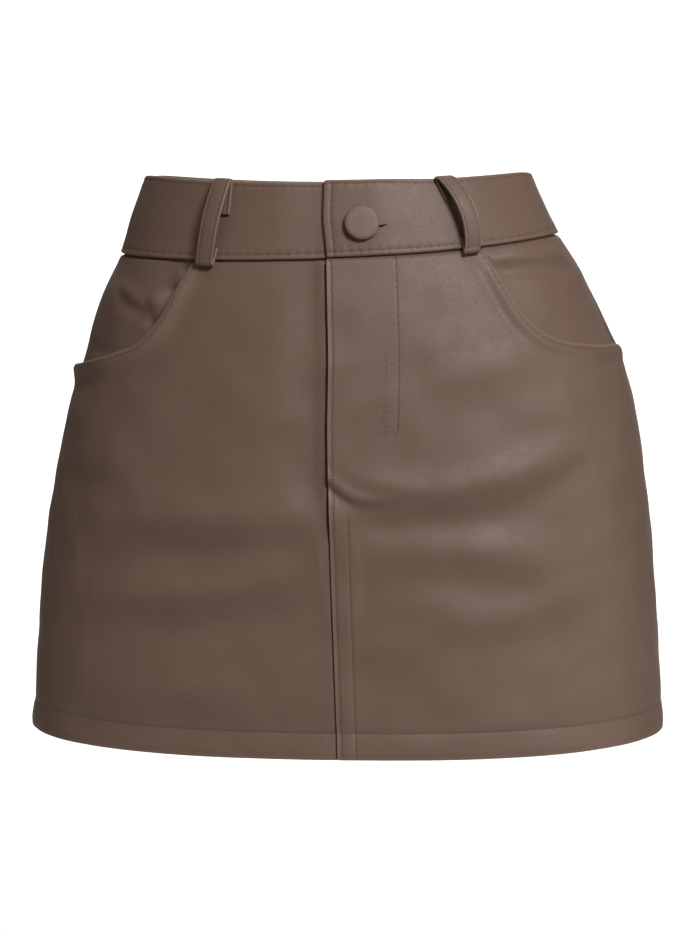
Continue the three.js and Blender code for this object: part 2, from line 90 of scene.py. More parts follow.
# Folds: each a swell above its line and a hollow below it
foldColumns = ("half", "from", "fromLevel", "to", "toLevel", "bow", "reach", "depth")
folds = (
    ("front", 2, -163, 162, -143, -14, 11, 3.1),
    ("front", 17, -198, 140, -210, 1, 13, 2.0),
    ("front", 41, -234, 170, -228, -9, 13, 1.3),
    ("front", 52, -106, 138, -91, -1, 15, 1.2),
    ("front", -166, -189, -8, -182, 0, 13, 3.6),
    ("front", -156, -234, -4, -209, -7, 13, 3.4),
    ("front", -176, -291, -4, -288, 0, 12, 1.5),
    ("front", -190, -151, -118, -155, 0, 13, 1.4),
    ("back", -160, -176, -12, -190, -8, 13, 2.2),
    ("back", 10, -168, 156, -182, -9, 13, 2.0),
    ("back", -140, -236, -30, -226, -4, 13, 1.4),
    ("back", 34, -230, 150, -242, -5, 13, 1.5),
    ("back", 96, -104, 178, -92, -4, 14, 1.2),
)
puckers = (
    ("front", -150, -40, -122, -50, 0, 5, 1.0),
    ("front", 84, -30.5, 172, -38, 2, 4, 2.2),
)
# Dents in the facings: side, place, reach each way and depth
dentColumns = ("side", "across", "level", "reachAcross", "reachLevel", "depth")
dents = (
    (-1, 101.5, -38, 6, 4.2, -2.6),
    (-1, 117, -57, 4.5, 3.6, -1.6),
    (-1, 113, -45.5, 5.5, 5, 1.9),
    (-1, 96, -29, 4, 5, 0.9),
    (-1, 125, -51, 7, 4, -1.3),
    (-1, 143, -33, 13, 6, -0.9),
    (-1, 160, -78, 16, 5, -1.0),
    (1, 136, -72, 12, 4, -0.5),
)
# Finer creases, which the solids leave out
softCreases = (
    ("front", 6, -150, 60, -160, -3, 5, 0.5),
    ("front", 4, -166, 46, -176, -2, 6, 0.5),
    ("front", 60, -176, 176, -166, -6, 8, 0.5),
    ("front", 12, -262, 120, -268, 4, 10, 0.4),
    ("front", 96, -118, 196, -112, -5, 9, 0.5),
    ("front", -120, -206, -14, -196, -3, 7, 0.5),
    ("front", -196, -196, -110, -204, -2, 9, 0.6),
    ("front", -110, -262, -10, -256, -3, 10, 0.4),
    ("front", -90, -112, -20, -118, 3, 12, 0.4),
    ("front", -206, -120, -140, -128, -2, 9, 0.5),
    ("back", -190, -140, -110, -132, -3, 9, 0.6),
    ("back", -110, -206, -18, -214, -3, 8, 0.5),
    ("back", 26, -196, 120, -206, -4, 8, 0.6),
    ("back", 130, -140, 206, -132, -3, 9, 0.5),
    ("back", -196, -210, -120, -216, -2, 9, 0.5),
)

seamGap = 0.3
bandTop, bandFoot = 23, -20
hemFoot = -317
hemFold = hemFoot + 18
flyFoot = -160
flyEnd = 40


def smoothRead(rows, columns, key, name, place):
    keys = np.array([row[columns.index(key)] for row in rows], float)
    values = np.array([row[columns.index(name)] for row in rows], float)
    place = np.asarray(place, float)
    if keys[0] > keys[-1]:
        keys, place = -keys, -place
    slopes = np.empty_like(values)
    slopes[1:-1] = (values[2:] - values[:-2]) / (keys[2:] - keys[:-2])
    slopes[0] = (values[1] - values[0]) / (keys[1] - keys[0])
    slopes[-1] = (values[-1] - values[-2]) / (keys[-1] - keys[-2])
    spot = np.clip(place, keys[0], keys[-1])
    low = np.clip(np.searchsorted(keys, spot, side="right") - 1, 0, len(keys) - 2)
    width = keys[low + 1] - keys[low]
    t = (spot - keys[low]) / width
    fromStart = values[low] * (2 * t**3 - 3 * t**2 + 1) + slopes[low] * width * (t**3 - 2 * t**2 + t)
    return fromStart + values[low + 1] * (3 * t**2 - 2 * t**3) + slopes[low + 1] * width * (t**3 - t**2)


def ringRead(name, level):
    return smoothRead(rings, ringColumns, "level", name, level)


def edgeAt(level):
    return smoothRead(lapEdge, lapColumns, "level", "across", level)


# The two mouths don't sit quite alike: one line each, nudged from the table
mouthFit = {1: {"shift": -3.0, "from": 95, "to": 122, "raise": 4.0},
            -1: {"shift": 3.6, "from": 120, "to": 140, "raise": 0}}


def mouthLevel(side, across):
    fit = mouthFit[side]
    across = np.abs(across)
    moved = across + fit["shift"] * (1 - ease(fit["from"], fit["to"], across))
    level = smoothRead(pocketMouth, mouthColumns, "across", "level", moved)
    return level + fit["raise"] * ease(140, 215, across)


def ease(low, high, value):
    t = np.clip((np.asarray(value, float) - low) / (high - low), 0, 1)
    return t * t * (3 - 2 * t)


def bell(middle, reach, value):
    return np.exp(-(((value - middle) / reach) ** 2))


# A quarter of each ring, tabled by level and by share of its length
tableTop, tableFoot, arcSteps = 30, -320, 400
tableLevels = np.arange(tableTop, tableFoot - 1, -1.0)


def quarterTable(half):
    angle = np.linspace(0, np.pi / 2, 600)
    xRows, yRows, lengths = [], [], []
    for level in tableLevels:
        power = 2 / ringRead("square", level)
        x = ringRead("halfWidth", level) * np.sin(angle) ** power
        y = ringRead(half, level) * np.cos(angle) ** power
        y[-1] = 0
        run = np.concatenate([[0], np.cumsum(np.hypot(np.diff(x), np.diff(y)))])
        share = np.linspace(0, run[-1], arcSteps + 1)
        xRows.append(np.interp(share, run, x))
        yRows.append(np.interp(share, run, y))
        lengths.append(run[-1])
    return np.array(xRows), np.array(yRows), np.array(lengths)


quarters = {"front": quarterTable("front"), "back": quarterTable("back")}


def sideAcross(half, level):
    return np.interp(-np.asarray(level, float), -tableLevels, quarters[half][2])


def smoothPoint(half, across, level):
    xs, ys, _ = quarters[half]
    row = np.clip(tableTop - level, 0, len(tableLevels) - 1.001)
    column = np.clip(np.abs(across) / sideAcross(half, level), 0, 0.99999) * arcSteps
    r, c = row.astype(int), column.astype(int)
    u, w = row - r, column - c

    def pick(table):
        top = table[r, c] * (1 - w) + table[r, c + 1] * w
        low = table[r + 1, c] * (1 - w) + table[r + 1, c + 1] * w
        return top * (1 - u) + low * u

    x = np.sign(across) * pick(xs)
    y = pick(ys)
    rise = ringRead("rise", level) * x / ringRead("halfWidth", level)
    dip = ringRead("dip", level) * (y / ringRead(half, level)) ** 2
    side = -1 if half == "front" else 1
    sway = ringRead("sway", level) * (1 - (x / ringRead("halfWidth", level)) ** 2)
    return np.stack([x + ringRead("shift", level) + sway, side * y, level + rise - dip], axis=-1)


# Places round the ring: past the side seam they turn into places on the back
def halves(around, level):
    front = sideAcross("front", level)
    isFront = np.abs(around) <= front
    backAcross = np.sign(around) * (sideAcross("back", level) - (np.abs(around) - front))
    return isFront, np.where(isFront, around, 0), np.where(isFront, 0, backAcross)


def ringPoint(around, level):
    isFront, frontAcross, backAcross = halves(around, level)
    return np.where(isFront[..., None], smoothPoint("front", frontAcross, level),
                    smoothPoint("back", backAcross, level))


def outward(around, level, reach=1.5):
    along = ringPoint(around + reach, level) - ringPoint(around - reach, level)
    up = ringPoint(around, level + reach) - ringPoint(around, level - reach)
    normal = np.cross(along, up)
    return normal / np.linalg.norm(normal, axis=-1, keepdims=True)


def foldDepth(table, half, across, level):
    depth = np.zeros_like(across)
    for row in table:
        fold = dict(zip(foldColumns, row))
        if fold["half"] != half:
            continue
        along = (across - fold["from"]) / (fold["to"] - fold["from"])
        inside = np.clip(along, 0, 1)
        line = fold["fromLevel"] + inside * (fold["toLevel"] - fold["fromLevel"])
        line = line + fold["bow"] * 4 * inside * (1 - inside)
        away = (level - line) / fold["reach"]
        depth += fold["depth"] * np.sin(np.pi * inside) ** 0.7 * away * np.exp(0.5 - away * away / 2)
    return depth


# A slow uneven wave in the leather, the same each run: turns around, turns down, phase and size
waves = ((0.013, 0.021, 0.4, 0.16), (-0.019, 0.011, 1.9, 0.14), (0.007, -0.034, 3.1, 0.12),
         (0.031, 0.017, 5.2, 0.07), (-0.011, 0.047, 2.2, 0.05), (0.043, -0.008, 0.9, 0.05))


def slowWave(around, level):
    depth = np.zeros_like(around)
    for aroundTurns, levelTurns, phase, size in waves:
        depth += size * np.sin(2 * np.pi * (aroundTurns * around + levelTurns * level) + phase)
    return depth * ease(bandFoot - 4, bandFoot - 40, level)


def relief(around, level):
    isFront, frontAcross, backAcross = halves(around, level)
    depth = 0
    for table in (folds, softCreases):
        depth = depth + np.where(isFront, foldDepth(table, "front", frontAcross, level),
                                 foldDepth(table, "back", backAcross, level))
    return depth + slowWave(around, level)


def clothPoint(around, level, out):
    around, level, out = np.broadcast_arrays(np.asarray(around, float), np.asarray(level, float), out)
    return ringPoint(around, level) + outward(around, level) * (relief(around, level) + out)[..., None]


print("surface tables made")


# Mesh making: a closed object from points in millimetres, faces, and what each point carries
def makeObject(name, points, faces, materials, kinds=None, around=None, level=None, carried=None):
    mesh = bpy.data.meshes.new(name)
    mesh.from_pydata((np.asarray(points) * metre).tolist(), [], faces)
    for material in materials:
        mesh.materials.append(material)
    if kinds is not None:
        mesh.polygons.foreach_set("material_index", np.asarray(kinds, np.int32))
    mesh.polygons.foreach_set("use_smooth", np.ones(len(mesh.polygons), bool))
    if around is not None:
        layer = mesh.uv_layers.new(name="cloth")
        corners = np.empty(len(mesh.loops), np.int32)
        mesh.loops.foreach_get("vertex_index", corners)
        pairs = np.stack([np.ravel(around), np.ravel(level)], axis=-1)[corners] * metre
        layer.data.foreach_set("uv", pairs.astype(np.float32).ravel())
    for label, values in (carried or {}).items():
        attribute = mesh.attributes.new(label, "FLOAT", "POINT")
        attribute.data.foreach_set("value", np.ravel(values).astype(np.float32))
    mesh.update()
    made = bpy.data.objects.new(name, mesh)
    bpy.context.scene.collection.objects.link(made)
    return made


def plainMesh(made):
    bpy.context.view_layer.update()
    graph = bpy.context.evaluated_depsgraph_get()
    mesh = bpy.data.meshes.new_from_object(made.evaluated_get(graph))
    made.modifiers.clear()
    made.data = mesh
    mesh.name = made.name
    return made


def softenEdges(made, width):
    bevel = made.modifiers.new("edges", "BEVEL")
    bevel.width = width * metre
    bevel.segments = 3
    bevel.limit_method = "ANGLE"
    bevel.angle_limit = math.radians(55)
    return plainMesh(made)


def gridFaces(rows, columns, start=0, flip=False):
    corner = start + np.arange(rows - 1)[:, None] * columns + np.arange(columns - 1)[None, :]
    quads = np.stack([corner, corner + columns, corner + columns + 1, corner + 1], axis=-1).reshape(-1, 4)
    return quads[:, ::-1] if flip else quads


# A wall of leather over a grid of places: grain side out, flesh side in, turned edges all round
def leatherWall(name, around, level, out, thick, materials, carried, edgeSoft=0.42):
    rows, columns = around.shape
    outer = clothPoint(around, level, out).reshape(-1, 3)
    inner = clothPoint(around, level, out - thick).reshape(-1, 3)
    count = rows * columns
    front = gridFaces(rows, columns)
    back = gridFaces(rows, columns, count, flip=True)
    index = np.arange(count).reshape(rows, columns)
    border = np.concatenate([index[0, :-1], index[:-1, -1], index[-1, :0:-1], index[:0:-1, 0]])
    following = np.roll(border, -1)
    rim = np.stack([border, following, following + count, border + count], axis=-1)
    faces = np.concatenate([front, back, rim])
    kinds = np.concatenate([np.zeros(len(front)), np.ones(len(back)), np.zeros(len(rim))])
    twice = {label: np.concatenate([np.ravel(v), np.ravel(v)]) for label, v in carried.items()}
    made = makeObject(name, np.concatenate([outer, inner]), faces.tolist(), materials, kinds,
                      np.concatenate([around.ravel(), around.ravel()]),
                      np.concatenate([level.ravel(), level.ravel()]), twice)
    return softenEdges(made, edgeSoft)


# Shader maths: a wire wraps a socket, and sums on wires add Math nodes
class Wire:
    def __init__(self, shader, socket):
        self.shader = shader
        self.socket = socket

    def sum(self, operation, other, swapped=False):
        first, second = (other, self) if swapped else (self, other)
        return self.shader.node("ShaderNodeMath", {"operation": operation}, {0: first, 1: second})

    def __add__(self, other):
        return self.sum("ADD", other)

    def __radd__(self, other):
        return self.sum("ADD", other, True)

    def __sub__(self, other):
        return self.sum("SUBTRACT", other)

    def __rsub__(self, other):
        return self.sum("SUBTRACT", other, True)

    def __mul__(self, other):
        return self.sum("MULTIPLY", other)

    def __rmul__(self, other):
        return self.sum("MULTIPLY", other, True)

    def __truediv__(self, other):
        return self.sum("DIVIDE", other)


class Shader:
    def __init__(self, name):
        self.material = bpy.data.materials.new(name)
        self.material.use_nodes = True
        self.tree = self.material.node_tree
        self.tree.nodes.clear()

    def node(self, kind, settings=None, values=None, output=0):
        made = self.tree.nodes.new(kind)
        for label, value in (settings or {}).items():
            setattr(made, label, value)
        for label, value in (values or {}).items():
            if isinstance(value, Wire):
                self.tree.links.new(value.socket, made.inputs[label])
            else:
                made.inputs[label].default_value = value
        return Wire(self, made.outputs[output])

    def finish(self, settings, baseColour, roughness, bump):
        surface = self.tree.nodes.new("ShaderNodeBsdfPrincipled")
        for label, value in settings.items():
            surface.inputs[label].default_value = value
        self.tree.links.new(baseColour.socket, surface.inputs["Base Color"])
        self.tree.links.new(roughness.socket, surface.inputs["Roughness"])
        if bump is not None:
            self.tree.links.new(bump.socket, surface.inputs["Normal"])
        output = self.tree.nodes.new("ShaderNodeOutputMaterial")
        self.tree.links.new(surface.outputs[0], output.inputs["Surface"])
        return self.material


leatherLook = {
    "colour": (0.178, 0.118, 0.09, 1),
    # worn: the pale tint of the edges, partly wear and partly painted highlight
    "worn": (0.27, 0.2, 0.155, 1),
    "deep": (0.1, 0.055, 0.035, 1),
    "grain": 620.0,          # cells a metre
    "grainTall": 0.035,      # millimetres
    "fineTall": 0.014,
    "roughness": 0.5,
    "grooveWide": 0.75,      # millimetres
    "grooveDeep": 0.16,
}


# The grain side: pebbled grain, slow shade changes, grooves where the thread pulls in with painted shade in
# them, paler edges that are partly wear and partly painted highlight
def leatherMaterial(name, look):
    shader = Shader(name)
    place = shader.node("ShaderNodeTexCoord", output="UV")
    warp = shader.node("ShaderNodeTexNoise", {}, {"Vector": place, "Scale": 160.0, "Detail": 2.0}, "Color")
    nudge = shader.node("ShaderNodeVectorMath", {"operation": "SCALE"}, {0: warp, "Scale": 0.0016})
    bent = shader.node("ShaderNodeVectorMath", {"operation": "ADD"}, {0: place, 1: nudge})
    cells = shader.node("ShaderNodeTexVoronoi", {"feature": "SMOOTH_F1"},
                        {"Vector": bent, "Scale": look["grain"], "Smoothness": 0.35}, "Distance")
    fine = shader.node("ShaderNodeTexNoise", {}, {"Vector": place, "Scale": 2400.0, "Detail": 3.0}, "Fac")
    slow = shader.node("ShaderNodeTexNoise", {}, {"Vector": place, "Scale": 17.0, "Detail": 3.0}, "Fac")
    patch = shader.node("ShaderNodeTexNoise", {}, {"Vector": place, "Scale": 90.0, "Detail": 4.0}, "Fac")
    wear = shader.node("ShaderNodeAttribute", {"attribute_name": "wear"}, {}, "Fac")
    groove = None
    for label in ("rowA", "rowB", "rowC"):
        away = shader.node("ShaderNodeAttribute", {"attribute_name": label}, {}, "Fac") / look["grooveWide"]
        pull = shader.node("ShaderNodeMath", {"operation": "EXPONENT"}, {0: away * away * -1.0})
        groove = pull if groove is None else groove + pull
    height = (0.5 - cells) * look["grainTall"] + (fine - 0.5) * look["fineTall"] - groove * look["grooveDeep"]
    bump = shader.node("ShaderNodeBump", {}, {"Strength": 1.0, "Distance": metre, "Height": height})
    shade = shader.node("ShaderNodeMix", {"data_type": "RGBA"},
                        {0: (slow - 0.35) * 0.55, 6: look["colour"], 7: look["deep"]}, 2)
    pores = shader.node("ShaderNodeMix", {"data_type": "RGBA"},
                        {0: cells * 0.16 + (patch - 0.5) * 0.12, 6: shade, 7: look["deep"]}, 2)
    # Painted shade: the colour darkens along the stitch grooves, where the thread pulls the leather in
    painted_groove_shade = shader.node("ShaderNodeMix", {"data_type": "RGBA"},
                         {0: groove * 0.24, 6: pores, 7: look["deep"]}, 2)
    # Paler along the marked edges: partly edge wear, partly painted highlight where rounded edges catch the
    # light
    colour = shader.node("ShaderNodeMix", {"data_type": "RGBA"},
                         {0: wear * (0.35 + patch * 0.5), 6: painted_groove_shade, 7: look["worn"]}, 2)
    roughness = look["roughness"] + (patch - 0.5) * 0.12 + cells * 0.1 - wear * 0.06
    return shader.finish({"IOR": 1.46, "Sheen Weight": 0.06, "Sheen Roughness": 0.4}, colour, roughness, bump)


# The flesh side: brushed, matt and a little paler
def fleshMaterial():
    shader = Shader("leather_flesh")
    place = shader.node("ShaderNodeTexCoord", output="UV")
    fibre = shader.node("ShaderNodeTexNoise", {}, {"Vector": place, "Scale": 1500.0, "Detail": 5.0}, "Fac")
    cloud = shader.node("ShaderNodeTexNoise", {}, {"Vector": place, "Scale": 60.0, "Detail": 4.0}, "Fac")
    colour = shader.node("ShaderNodeMix", {"data_type": "RGBA"},
                         {0: fibre * 0.6 + cloud * 0.4, 6: (0.11, 0.08, 0.062, 1),
                          7: (0.2, 0.155, 0.12, 1)}, 2)
    bump = shader.node("ShaderNodeBump", {}, {"Strength": 1.0, "Distance": metre, "Height": fibre * 0.12})
    return shader.finish({"Sheen Weight": 0.3, "Sheen Roughness": 0.6}, colour, 0.86 + fibre * 0.1, bump)


# Twisted sewing thread
def threadMaterial():
    shader = Shader("thread")
    place = shader.node("ShaderNodeTexCoord", output="Object")
    twist = shader.node("ShaderNodeTexWave", {"bands_direction": "DIAGONAL"},
                        {"Vector": place, "Scale": 900.0, "Distortion": 1.0}, "Fac")
    colour = shader.node("ShaderNodeMix", {"data_type": "RGBA"},
                         {0: twist, 6: (0.05, 0.034, 0.025, 1), 7: (0.095, 0.066, 0.052, 1)}, 2)
    bump = shader.node("ShaderNodeBump", {}, {"Strength": 1.0, "Distance": metre, "Height": twist * 0.05})
    return shader.finish({"Sheen Weight": 0.2}, colour, 0.6 + twist * 0.1, bump)


# Woven zip tape
def tapeMaterial():
    shader = Shader("zip_tape")
    place = shader.node("ShaderNodeTexCoord", output="UV")
    across = shader.node("ShaderNodeTexWave", {"bands_direction": "X"},
                         {"Vector": place, "Scale": 420.0}, "Fac")
    down = shader.node("ShaderNodeTexWave", {"bands_direction": "Y"},
                       {"Vector": place, "Scale": 420.0}, "Fac")
    weave = across * 0.5 + down * 0.5
    colour = shader.node("ShaderNodeMix", {"data_type": "RGBA"},
                         {0: weave, 6: (0.075, 0.053, 0.04, 1), 7: (0.13, 0.097, 0.076, 1)}, 2)
    bump = shader.node("ShaderNodeBump", {}, {"Strength": 1.0, "Distance": metre, "Height": weave * 0.12})
    return shader.finish({"Sheen Weight": 0.2}, colour, 0.8 + weave * 0.1, bump)


# Hard zip pieces: moulded teeth and a painted slider
def hardMaterial(name, colour, metallic, roughness):
    shader = Shader(name)
    place = shader.node("ShaderNodeTexCoord", output="Object")
    marks = shader.node("ShaderNodeTexNoise", {}, {"Vector": place, "Scale": 700.0, "Detail": 4.0}, "Fac")
    worn = tuple(min(1, 1.7 * part) for part in colour[:3]) + (1,)
    base = shader.node("ShaderNodeMix", {"data_type": "RGBA"}, {0: marks * 0.5, 6: colour, 7: worn}, 2)
    return shader.finish({"Metallic": metallic}, base, roughness + marks * 0.15, None)


leather = leatherMaterial("leather", leatherLook)
flesh = fleshMaterial()
thread = threadMaterial()
tape = tapeMaterial()
teeth = hardMaterial("zip_teeth", (0.1, 0.072, 0.056, 1), 0.0, 0.4)
paint = hardMaterial("zip_metal", (0.12, 0.088, 0.068, 1), 0.7, 0.3)
print("materials made")

farRow = 60.0  # where a piece has no such stitch row


def rideAndSlot(made, slot, *nodes):
    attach(made, "root")
    if nodes:
        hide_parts(*nodes)
    return made


# How far out the waistband lies, lapped at the front
bandCut = {"thick": 3.0, "out": 1.2, "lapLift": 1.5, "lapFlat": 26, "lapEnd": 54,
           "underOut": -0.6, "underFlat": 4,
           "underEnd": 34, "tuck": 32, "columns": 330, "faceSteps": 34, "round": 1.25, "endSteps": 5,
           "footRow": 2.8, "topRow": 2.6, "lapRow": 4.6, "lapBow": 1.2, "lapRise": 1.3, "corner": 2.2}


def bandOuter(side, around):
    cut = bandCut
    if side > 0:
        return cut["out"] + cut["lapLift"] * (1 - ease(cut["lapFlat"], cut["lapEnd"], around))
    return cut["underOut"] + (cut["out"] - cut["underOut"]) * ease(cut["underFlat"], cut["underEnd"], around)


# Front panels
frontCut = {"lapColumns": 52, "plainColumns": 26, "mouthColumns": 74, "rows": 160, "hemRows": 16,
            "lapCrowd": 1.5,
            "flyTuck": 8, "seamTuck": 6, "flyFade": 66, "flyChange": 8, "flyLift": 3.4,
            "seamLift": 0.9, "seamFlat": 8, "seamFade": 22, "seamThick": 1.4, "seamThin": (9, 15),
            "mouthStart": 88, "mouthLift": 0.8, "mouthReach": 28, "seamRows": (2.5, 11.0), "hemRow": 16.0,
            "mouthRow": 2.6, "flyRows": (37.6, 30.3), "flyRowTop": -72, "flyRowFoot": -124}
panelTop = bandFoot - seamGap
# The panels run on a little way behind the waistband
sewnTop = bandFoot + 2.5
# How each pocket mouth sits: its edge gapes or lies down, with a hollow inside it
mouthShape = {1: {"gape": 0.8, "gapeReach": 14, "hollow": 0.9, "hollowAt": 9.5, "hollowReach": 3.4},
              -1: {"gape": 2.3, "gapeReach": 12, "hollow": 0.4, "hollowAt": 14, "hollowReach": 4}}


def frontColumns(sideSign):
    cut = frontCut
    side = float(sideAcross("front", panelTop))
    mouthShare = (cut["mouthStart"] - mouthFit[sideSign]["shift"] - flyEnd) / (side - flyEnd)
    fixed = flyEnd * np.linspace(0, 1, cut["lapColumns"]) ** cut["lapCrowd"]
    plain = mouthShare * np.arange(1, cut["plainColumns"] + 1) / cut["plainColumns"]
    step = np.arange(1, cut["mouthColumns"] + 1) / cut["mouthColumns"]
    mouth = mouthShare + (1 - mouthShare) * step**1.25
    share = np.concatenate([np.zeros(len(fixed)), plain, mouth])
    fixed = np.concatenate([fixed, np.full(len(plain) + len(mouth), flyEnd)])
    return fixed, share, mouthShare


def frontAcross(fixed, share, level, edge):
    seam = sideAcross("front", level) - seamGap / 2
    near = np.where(fixed < flyEnd, edge + fixed / flyEnd * (flyEnd - edge), flyEnd)
    return near + share * (seam - flyEnd)


def frontTops(side, fixed, share, mouthShare):
    high = np.full(len(fixed), float(sewnTop))
    low = np.full(len(fixed), float(pocketMouth[-1][1]))
    for _ in range(40):
        middle = (low + high) / 2
        above = middle > mouthLevel(side, frontAcross(fixed, share, middle, 0.0))
        high = np.where(above, middle, high)
        low = np.where(above, low, middle)
    return np.where(share <= mouthShare + 1e-9, sewnTop, high)


mouthLine = np.linspace(frontCut["mouthStart"] - 4, 228, 500)
mouthPoints = {side: np.stack([mouthLine, mouthLevel(side, mouthLine)], axis=-1) for side in (1, -1)}
# The sharp crease that starts at the fly's foot
footCrease = ((-9, -148), (-3, -153), (1, -157), (7, -161.5), (14, -165.5), (26, -167.5), (46, -166.5))


# How far a place lies from a line of points
def fromLine(points, across, level):
    flat = np.stack([across.ravel(), level.ravel()], axis=-1)
    nearest = np.full(len(flat), 1e9)
    for start in range(0, len(points), 25):
        gaps = flat[:, None, :] - points[None, start:start + 25, :]
        nearest = np.minimum(nearest, np.sqrt((gaps**2).sum(-1)).min(1))
    return nearest.reshape(across.shape)


def panelThick(level):
    return 1.5 + 1.5 * ease(hemFold + 0.5, hemFold - 0.5, level)


# The turned hem shows as a soft swell below its stitch row
def hemRelief(level):
    row = hemFoot + frontCut["hemRow"]
    swell = 1.1 * ease(row + 2, row - 13, level) - 0.3 * bell(row, 2.2, level)
    return swell - 0.3 * ease(hemFoot + 4, hemFoot, level)


# Each panel goes in under the waistband that is sewn over it
def underBand(side, around, level, out, behind=0.0):
    depth = bandOuter(side, around) - bandCut["thick"] - 0.5 - behind
    tucked = ease(panelTop - 2.0, bandFoot + 0.3, level)
    return out + (depth - out) * tucked


def mouthRelief(side, across, level, mouth):
    cut, shape = frontCut, mouthShape[side]
    lift = cut["mouthLift"] * (1 - ease(0, cut["mouthReach"], mouthLevel(side, across) - level))
    gape = shape["gape"] * (1 - ease(0, shape["gapeReach"], mouth))
    hollow = shape["hollow"] * bell(shape["hollowAt"], shape["hollowReach"], mouth)
    return lift + gape - hollow + 0.35 * bell(3.6, 2.4, mouth) - 0.5 * bell(0, 0.9, mouth)


# The left front laps over the right down the fly, and below it the panels are sewn lapped
def leftFrontOut(across, level):
    cut = frontCut
    lap = across - edgeAt(level)
    lift = cut["flyLift"] * np.clip(1 - lap / cut["flyFade"], 0, 1) ** 2
    seam = cut["seamLift"] * (1 - ease(cut["seamFlat"], cut["seamFade"], across))
    high = ease(flyFoot - 4 * cut["flyChange"], flyFoot - 1.5 * cut["flyChange"], level)
    lower = ease(flyFoot - 6, flyFoot - 16, level)
    rows = 0.12 * bell(cut["seamRows"][0], 1.1, lap) + 0.15 * lower * bell(cut["seamRows"][1], 1.3, lap)
    above = level - smoothRead(footCrease, ("across", "level"), "across", "level", across)
    reach = np.where(above > 0, 1.1 + 3 * ease(6, 44, across), 6.0)
    dent = 1.5 * np.exp(-((above / reach) ** 2)) - 0.8 * bell(5, 3.5, above)
    return lift * high + seam * (1 - high) - rows - dent * (1 - ease(18, 50, across))


def rightFrontOut(across, level):
    away = across + edgeAt(level)
    inFly = ease(flyFoot - frontCut["flyChange"], flyFoot, level)
    valley = 1.5 * bell(10, np.where(away < 10, 5.5, 15), away) * ease(-185, -150, level)
    besideLap = 1.1 * (1 - ease(0, 2.4, away)) * inFly + 1.6 * (1 - ease(0.2, 1.6, away)) * (1 - inFly)
    return -valley - besideLap


def frontOut(side, across, level):
    mouth = fromLine(mouthPoints[side], across, level)
    near = ease(70, 100, across)
    out = mouthRelief(side, across, level, mouth) * near + hemRelief(level)
    out = out + (leftFrontOut(across, level) if side > 0 else rightFrontOut(across, level))
    return underBand(side, across, level, out)


def frontThick(side, across, level):
    away = across - edgeAt(level) if side > 0 else across + edgeAt(level)
    thick = panelThick(level)
    thin = 1 - ease(*frontCut["seamThin"], away)
    thick = thick + (frontCut["seamThick"] - thick) * thin
    if side < 0:
        thick = thick - 0.7 * bell(0.9, 2.2, away) * ease(flyFoot - frontCut["flyChange"], flyFoot, level)
    return thick


# What the leather shader reads: the distance from up to three stitch rows, and the pale edge mask, part wear
# and part painted highlight
def frontRows(side, across, level):
    cut = frontCut
    mouth = fromLine(mouthPoints[side], across, level)
    near = ease(70, 100, across)
    hemRow = level - (hemFoot + cut["hemRow"])
    rowC = np.where(level < hemFold + 20, hemRow, (mouth - cut["mouthRow"]) * near + farRow * (1 - near))
    # Pale at the mouth edge and the hem edge: partly wear, partly painted highlight on the rounded edges
    wear = 0.8 * bell(0, 1.2, mouth) * near + 0.5 * bell(hemFoot, 1.5, level)
    blank = np.full(level.shape, farRow)
    if side < 0:
        # On the right front a pale strip just inside the mouth is painted highlight, where the gaping edge
        # turns towards the light
        return {"rowA": blank, "rowB": blank, "rowC": rowC, "wear": wear + 0.35 * bell(5, 4, mouth) * near}
    lap = across - edgeAt(level)
    flyRow = across - cut["flyRows"][0]
    rowB = np.where(level < flyFoot - 14, lap - cut["seamRows"][1],
                    np.where(level > cut["flyRowFoot"], flyRow, blank))
    # The lapping edge is paler: partly wear, partly painted highlight along its rounded edge
    return {"rowA": lap - cut["seamRows"][0], "rowB": rowB, "rowC": rowC,
            "wear": wear + 0.6 * bell(0, 1.2, lap)}


def frontPanel(side):
    cut = frontCut
    fixed, share, mouthShare = frontColumns(side)
    tops = frontTops(side, fixed, share, mouthShare)
    run = (np.arange(cut["rows"]) / (cut["rows"] - 1)) ** 1.08
    upper = tops[None, :] + run[:, None] * (hemFold + 1 - tops[None, :])
    hem = np.linspace(hemFold, hemFoot, cut["hemRows"])[:, None] + np.zeros(len(tops))[None, :]
    level = np.concatenate([upper, hem])
    inFly = ease(flyFoot - cut["flyChange"], flyFoot, level)
    tuck = cut["seamTuck"] + (cut["flyTuck"] - cut["seamTuck"]) * inFly
    edge = edgeAt(level) if side > 0 else -(edgeAt(level) + tuck)
    across = frontAcross(fixed[None, :], share[None, :], level, edge)
    grids = [across, level, frontOut(side, across, level), frontThick(side, across, level)]
    carried = frontRows(side, across, level)
    if side < 0:
        grids = [grid[:, ::-1] for grid in grids]
        carried = {label: values[:, ::-1] for label, values in carried.items()}
    name = "left_front_leather" if side > 0 else "right_front_leather"
    made = leatherWall(name, side * grids[0], *grids[1:], [leather, flesh], carried)
    return rideAndSlot(made, "leather", "front_left" if side > 0 else "front_right")


leftFront = frontPanel(1)
rightFront = frontPanel(-1)
print("front panels made")

# Pocket facings
facingCut = {"thick": 1.2, "underlap": 20, "drop": 2.4, "deep": 6, "level": 44, "rows": 84,
             "firstShare": 0.76}


def facingShape(side, across, level):
    depth = foldDepth(puckers, "front", side * across, level)
    for row in dents:
        dent = dict(zip(dentColumns, row))
        if dent["side"] == side:
            away = ((across - dent["across"]) / dent["reachAcross"]) ** 2
            down = ((level - dent["level"]) / dent["reachLevel"]) ** 2
            depth = depth + dent["depth"] * np.exp(-away - down)
    return depth


